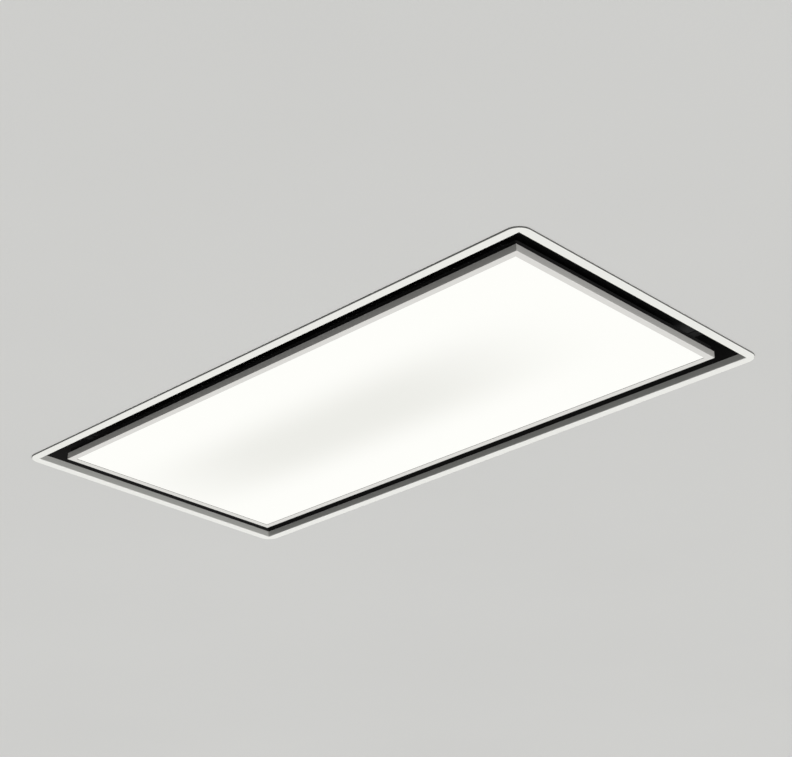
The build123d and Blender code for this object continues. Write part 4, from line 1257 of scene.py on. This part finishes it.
@dataclass(frozen=True)
class CeilingBoard:
    """The plain board that the hood is let into.

    Attributes:
        reach: From the hood's middle to the board's edges.
        thickness: Thickness of the board.
        gap: Shadow gap between the flange and the board.
        cutout: Length and width of the hole for the hood.
        below: Finish of the face seen from the room.
        above: Finish of the upper face.
    """

    reach: float = 8.0
    thickness: float = 12.5 * MM
    gap: float = 0.5 * MM
    cutout: Span = (0.98, 0.48)
    below: Plaster = Plaster("ceiling_plaster", (0.6, 0.6, 0.585))
    above: Plaster = Plaster("board_top", (0.76, 0.76, 0.74))

    def build(self) -> None:
        """Lay the board round the hood."""
        work = bmesh.new()
        outlines = ((2 * self.reach, 2 * self.reach), self.cutout)
        rings = [[[work.verts.new((side_x * length / 2, side_y * width / 2, height))
                   for side_x, side_y in ((-1, -1), (1, -1), (1, 1), (-1, 1))]
                  for length, width in outlines] for height in (self.gap, self.gap + self.thickness)]
        (low_out, low_in), (high_out, high_in) = rings
        for corner in range(4):
            after = (corner + 1) % 4
            work.faces.new((low_out[corner], low_in[corner], low_in[after], low_out[after]))
            upper = work.faces.new((high_out[corner], high_out[after], high_in[after], high_in[corner]))
            upper.material_index = 1
            work.faces.new((low_in[corner], high_in[corner], high_in[after], low_in[after]))
            work.faces.new((low_out[corner], low_out[after], high_out[after], high_out[corner]))
        board = smooth_object("ceiling_board", work, self.below.make())
        board.data.materials.append(self.above.make())


@dataclass(frozen=True)
class SoftLamp:
    """A very large, far lamp on the +X side.

    Attributes:
        name: The lamp's name.
        depression: How far below the horizon it stands, in degrees.
        strength: Its strength.
        spread: Angle that it fills, in degrees.
    """

    name: str
    depression: float
    strength: float
    spread: float

    def build(self) -> None:
        """Hang the lamp."""
        data = bpy.data.lights.new(self.name, "SUN")
        data.energy = self.strength
        data.angle = math.radians(self.spread)
        lamp = add_object(self.name, data)
        down = math.radians(self.depression)
        stand = Vector((math.cos(down), 0.0, -math.sin(down)))
        lamp.rotation_mode = "QUATERNION"
        lamp.rotation_quaternion = stand.to_track_quat("Z", "Y")


@dataclass(frozen=True)
class Surroundings:
    """Even light from all sides and the pale backdrop that the camera and gloss see.

    Attributes:
        light: Strength of the even light.
        backdrop: Linear colour of the backdrop.
    """

    light: float = 0.25
    backdrop: Rgb = (0.78, 0.78, 0.77)

    def build(self) -> None:
        """Set up the world."""
        world = bpy.data.worlds.new("studio_sky")
        world.use_nodes = True
        bpy.context.scene.world = world
        tree = world.node_tree
        tree.nodes.clear()
        light = tree.nodes.new("ShaderNodeBackground")
        light.inputs["Color"].default_value = (1.0, 1.0, 1.0, 1.0)
        light.inputs["Strength"].default_value = self.light
        shown = tree.nodes.new("ShaderNodeBackground")
        shown.inputs["Color"].default_value = (*self.backdrop, 1.0)
        path = tree.nodes.new("ShaderNodeLightPath")
        seen = path.outputs["Is Camera Ray"]
        for ray in ("Is Glossy Ray", "Is Transmission Ray"):
            either = tree.nodes.new("ShaderNodeMath")
            either.operation = "MAXIMUM"
            tree.links.new(seen, either.inputs[0])
            tree.links.new(path.outputs[ray], either.inputs[1])
            seen = either.outputs["Value"]
        mix = tree.nodes.new("ShaderNodeMixShader")
        output = tree.nodes.new("ShaderNodeOutputWorld")
        tree.links.new(seen, mix.inputs["Fac"])
        tree.links.new(light.outputs["Background"], mix.inputs[1])
        tree.links.new(shown.outputs["Background"], mix.inputs[2])
        tree.links.new(mix.outputs["Shader"], output.inputs["Surface"])


@dataclass
class Studio:
    """The camera, the ceiling and the soft light from below and above.

    Attributes:
        camera: Camera of the photograph.
        board: Board of the ceiling.
        below: The lamp that lights what the room sees.
        above: The lamp that lights the casing.
        surroundings: The even light and the backdrop.
    """

    camera: PhotoCamera = PhotoCamera()
    board: CeilingBoard = CeilingBoard()
    below: SoftLamp = SoftLamp("lamp_below", depression=65.0, strength=2.6, spread=45.0)
    above: SoftLamp = SoftLamp("lamp_above", depression=-65.0, strength=1.8, spread=150.0)
    surroundings: Surroundings = Surroundings()

    def build(self) -> None:
        """Set up the whole studio."""
        bpy.context.scene.view_settings.view_transform = "Standard"
        for piece in (self.camera, self.board, self.below, self.above, self.surroundings):
            piece.build()
            LOG.info("set up %s", type(piece).__name__)


def main() -> None:
    """Build the studio, then dress the hood one sub-assembly after another."""
    logging.basicConfig(level=logging.INFO, format="%(name)s: %(message)s")
    for assembly in (Studio(), TrimAndPlenum(), LightPanel(), GreaseFilters(), BlowerBox(),
                     Screws(), Rivets()):
        LOG.info("building %s", type(assembly).__name__)
        assembly.build()


if __name__ == "__main__":
    main()
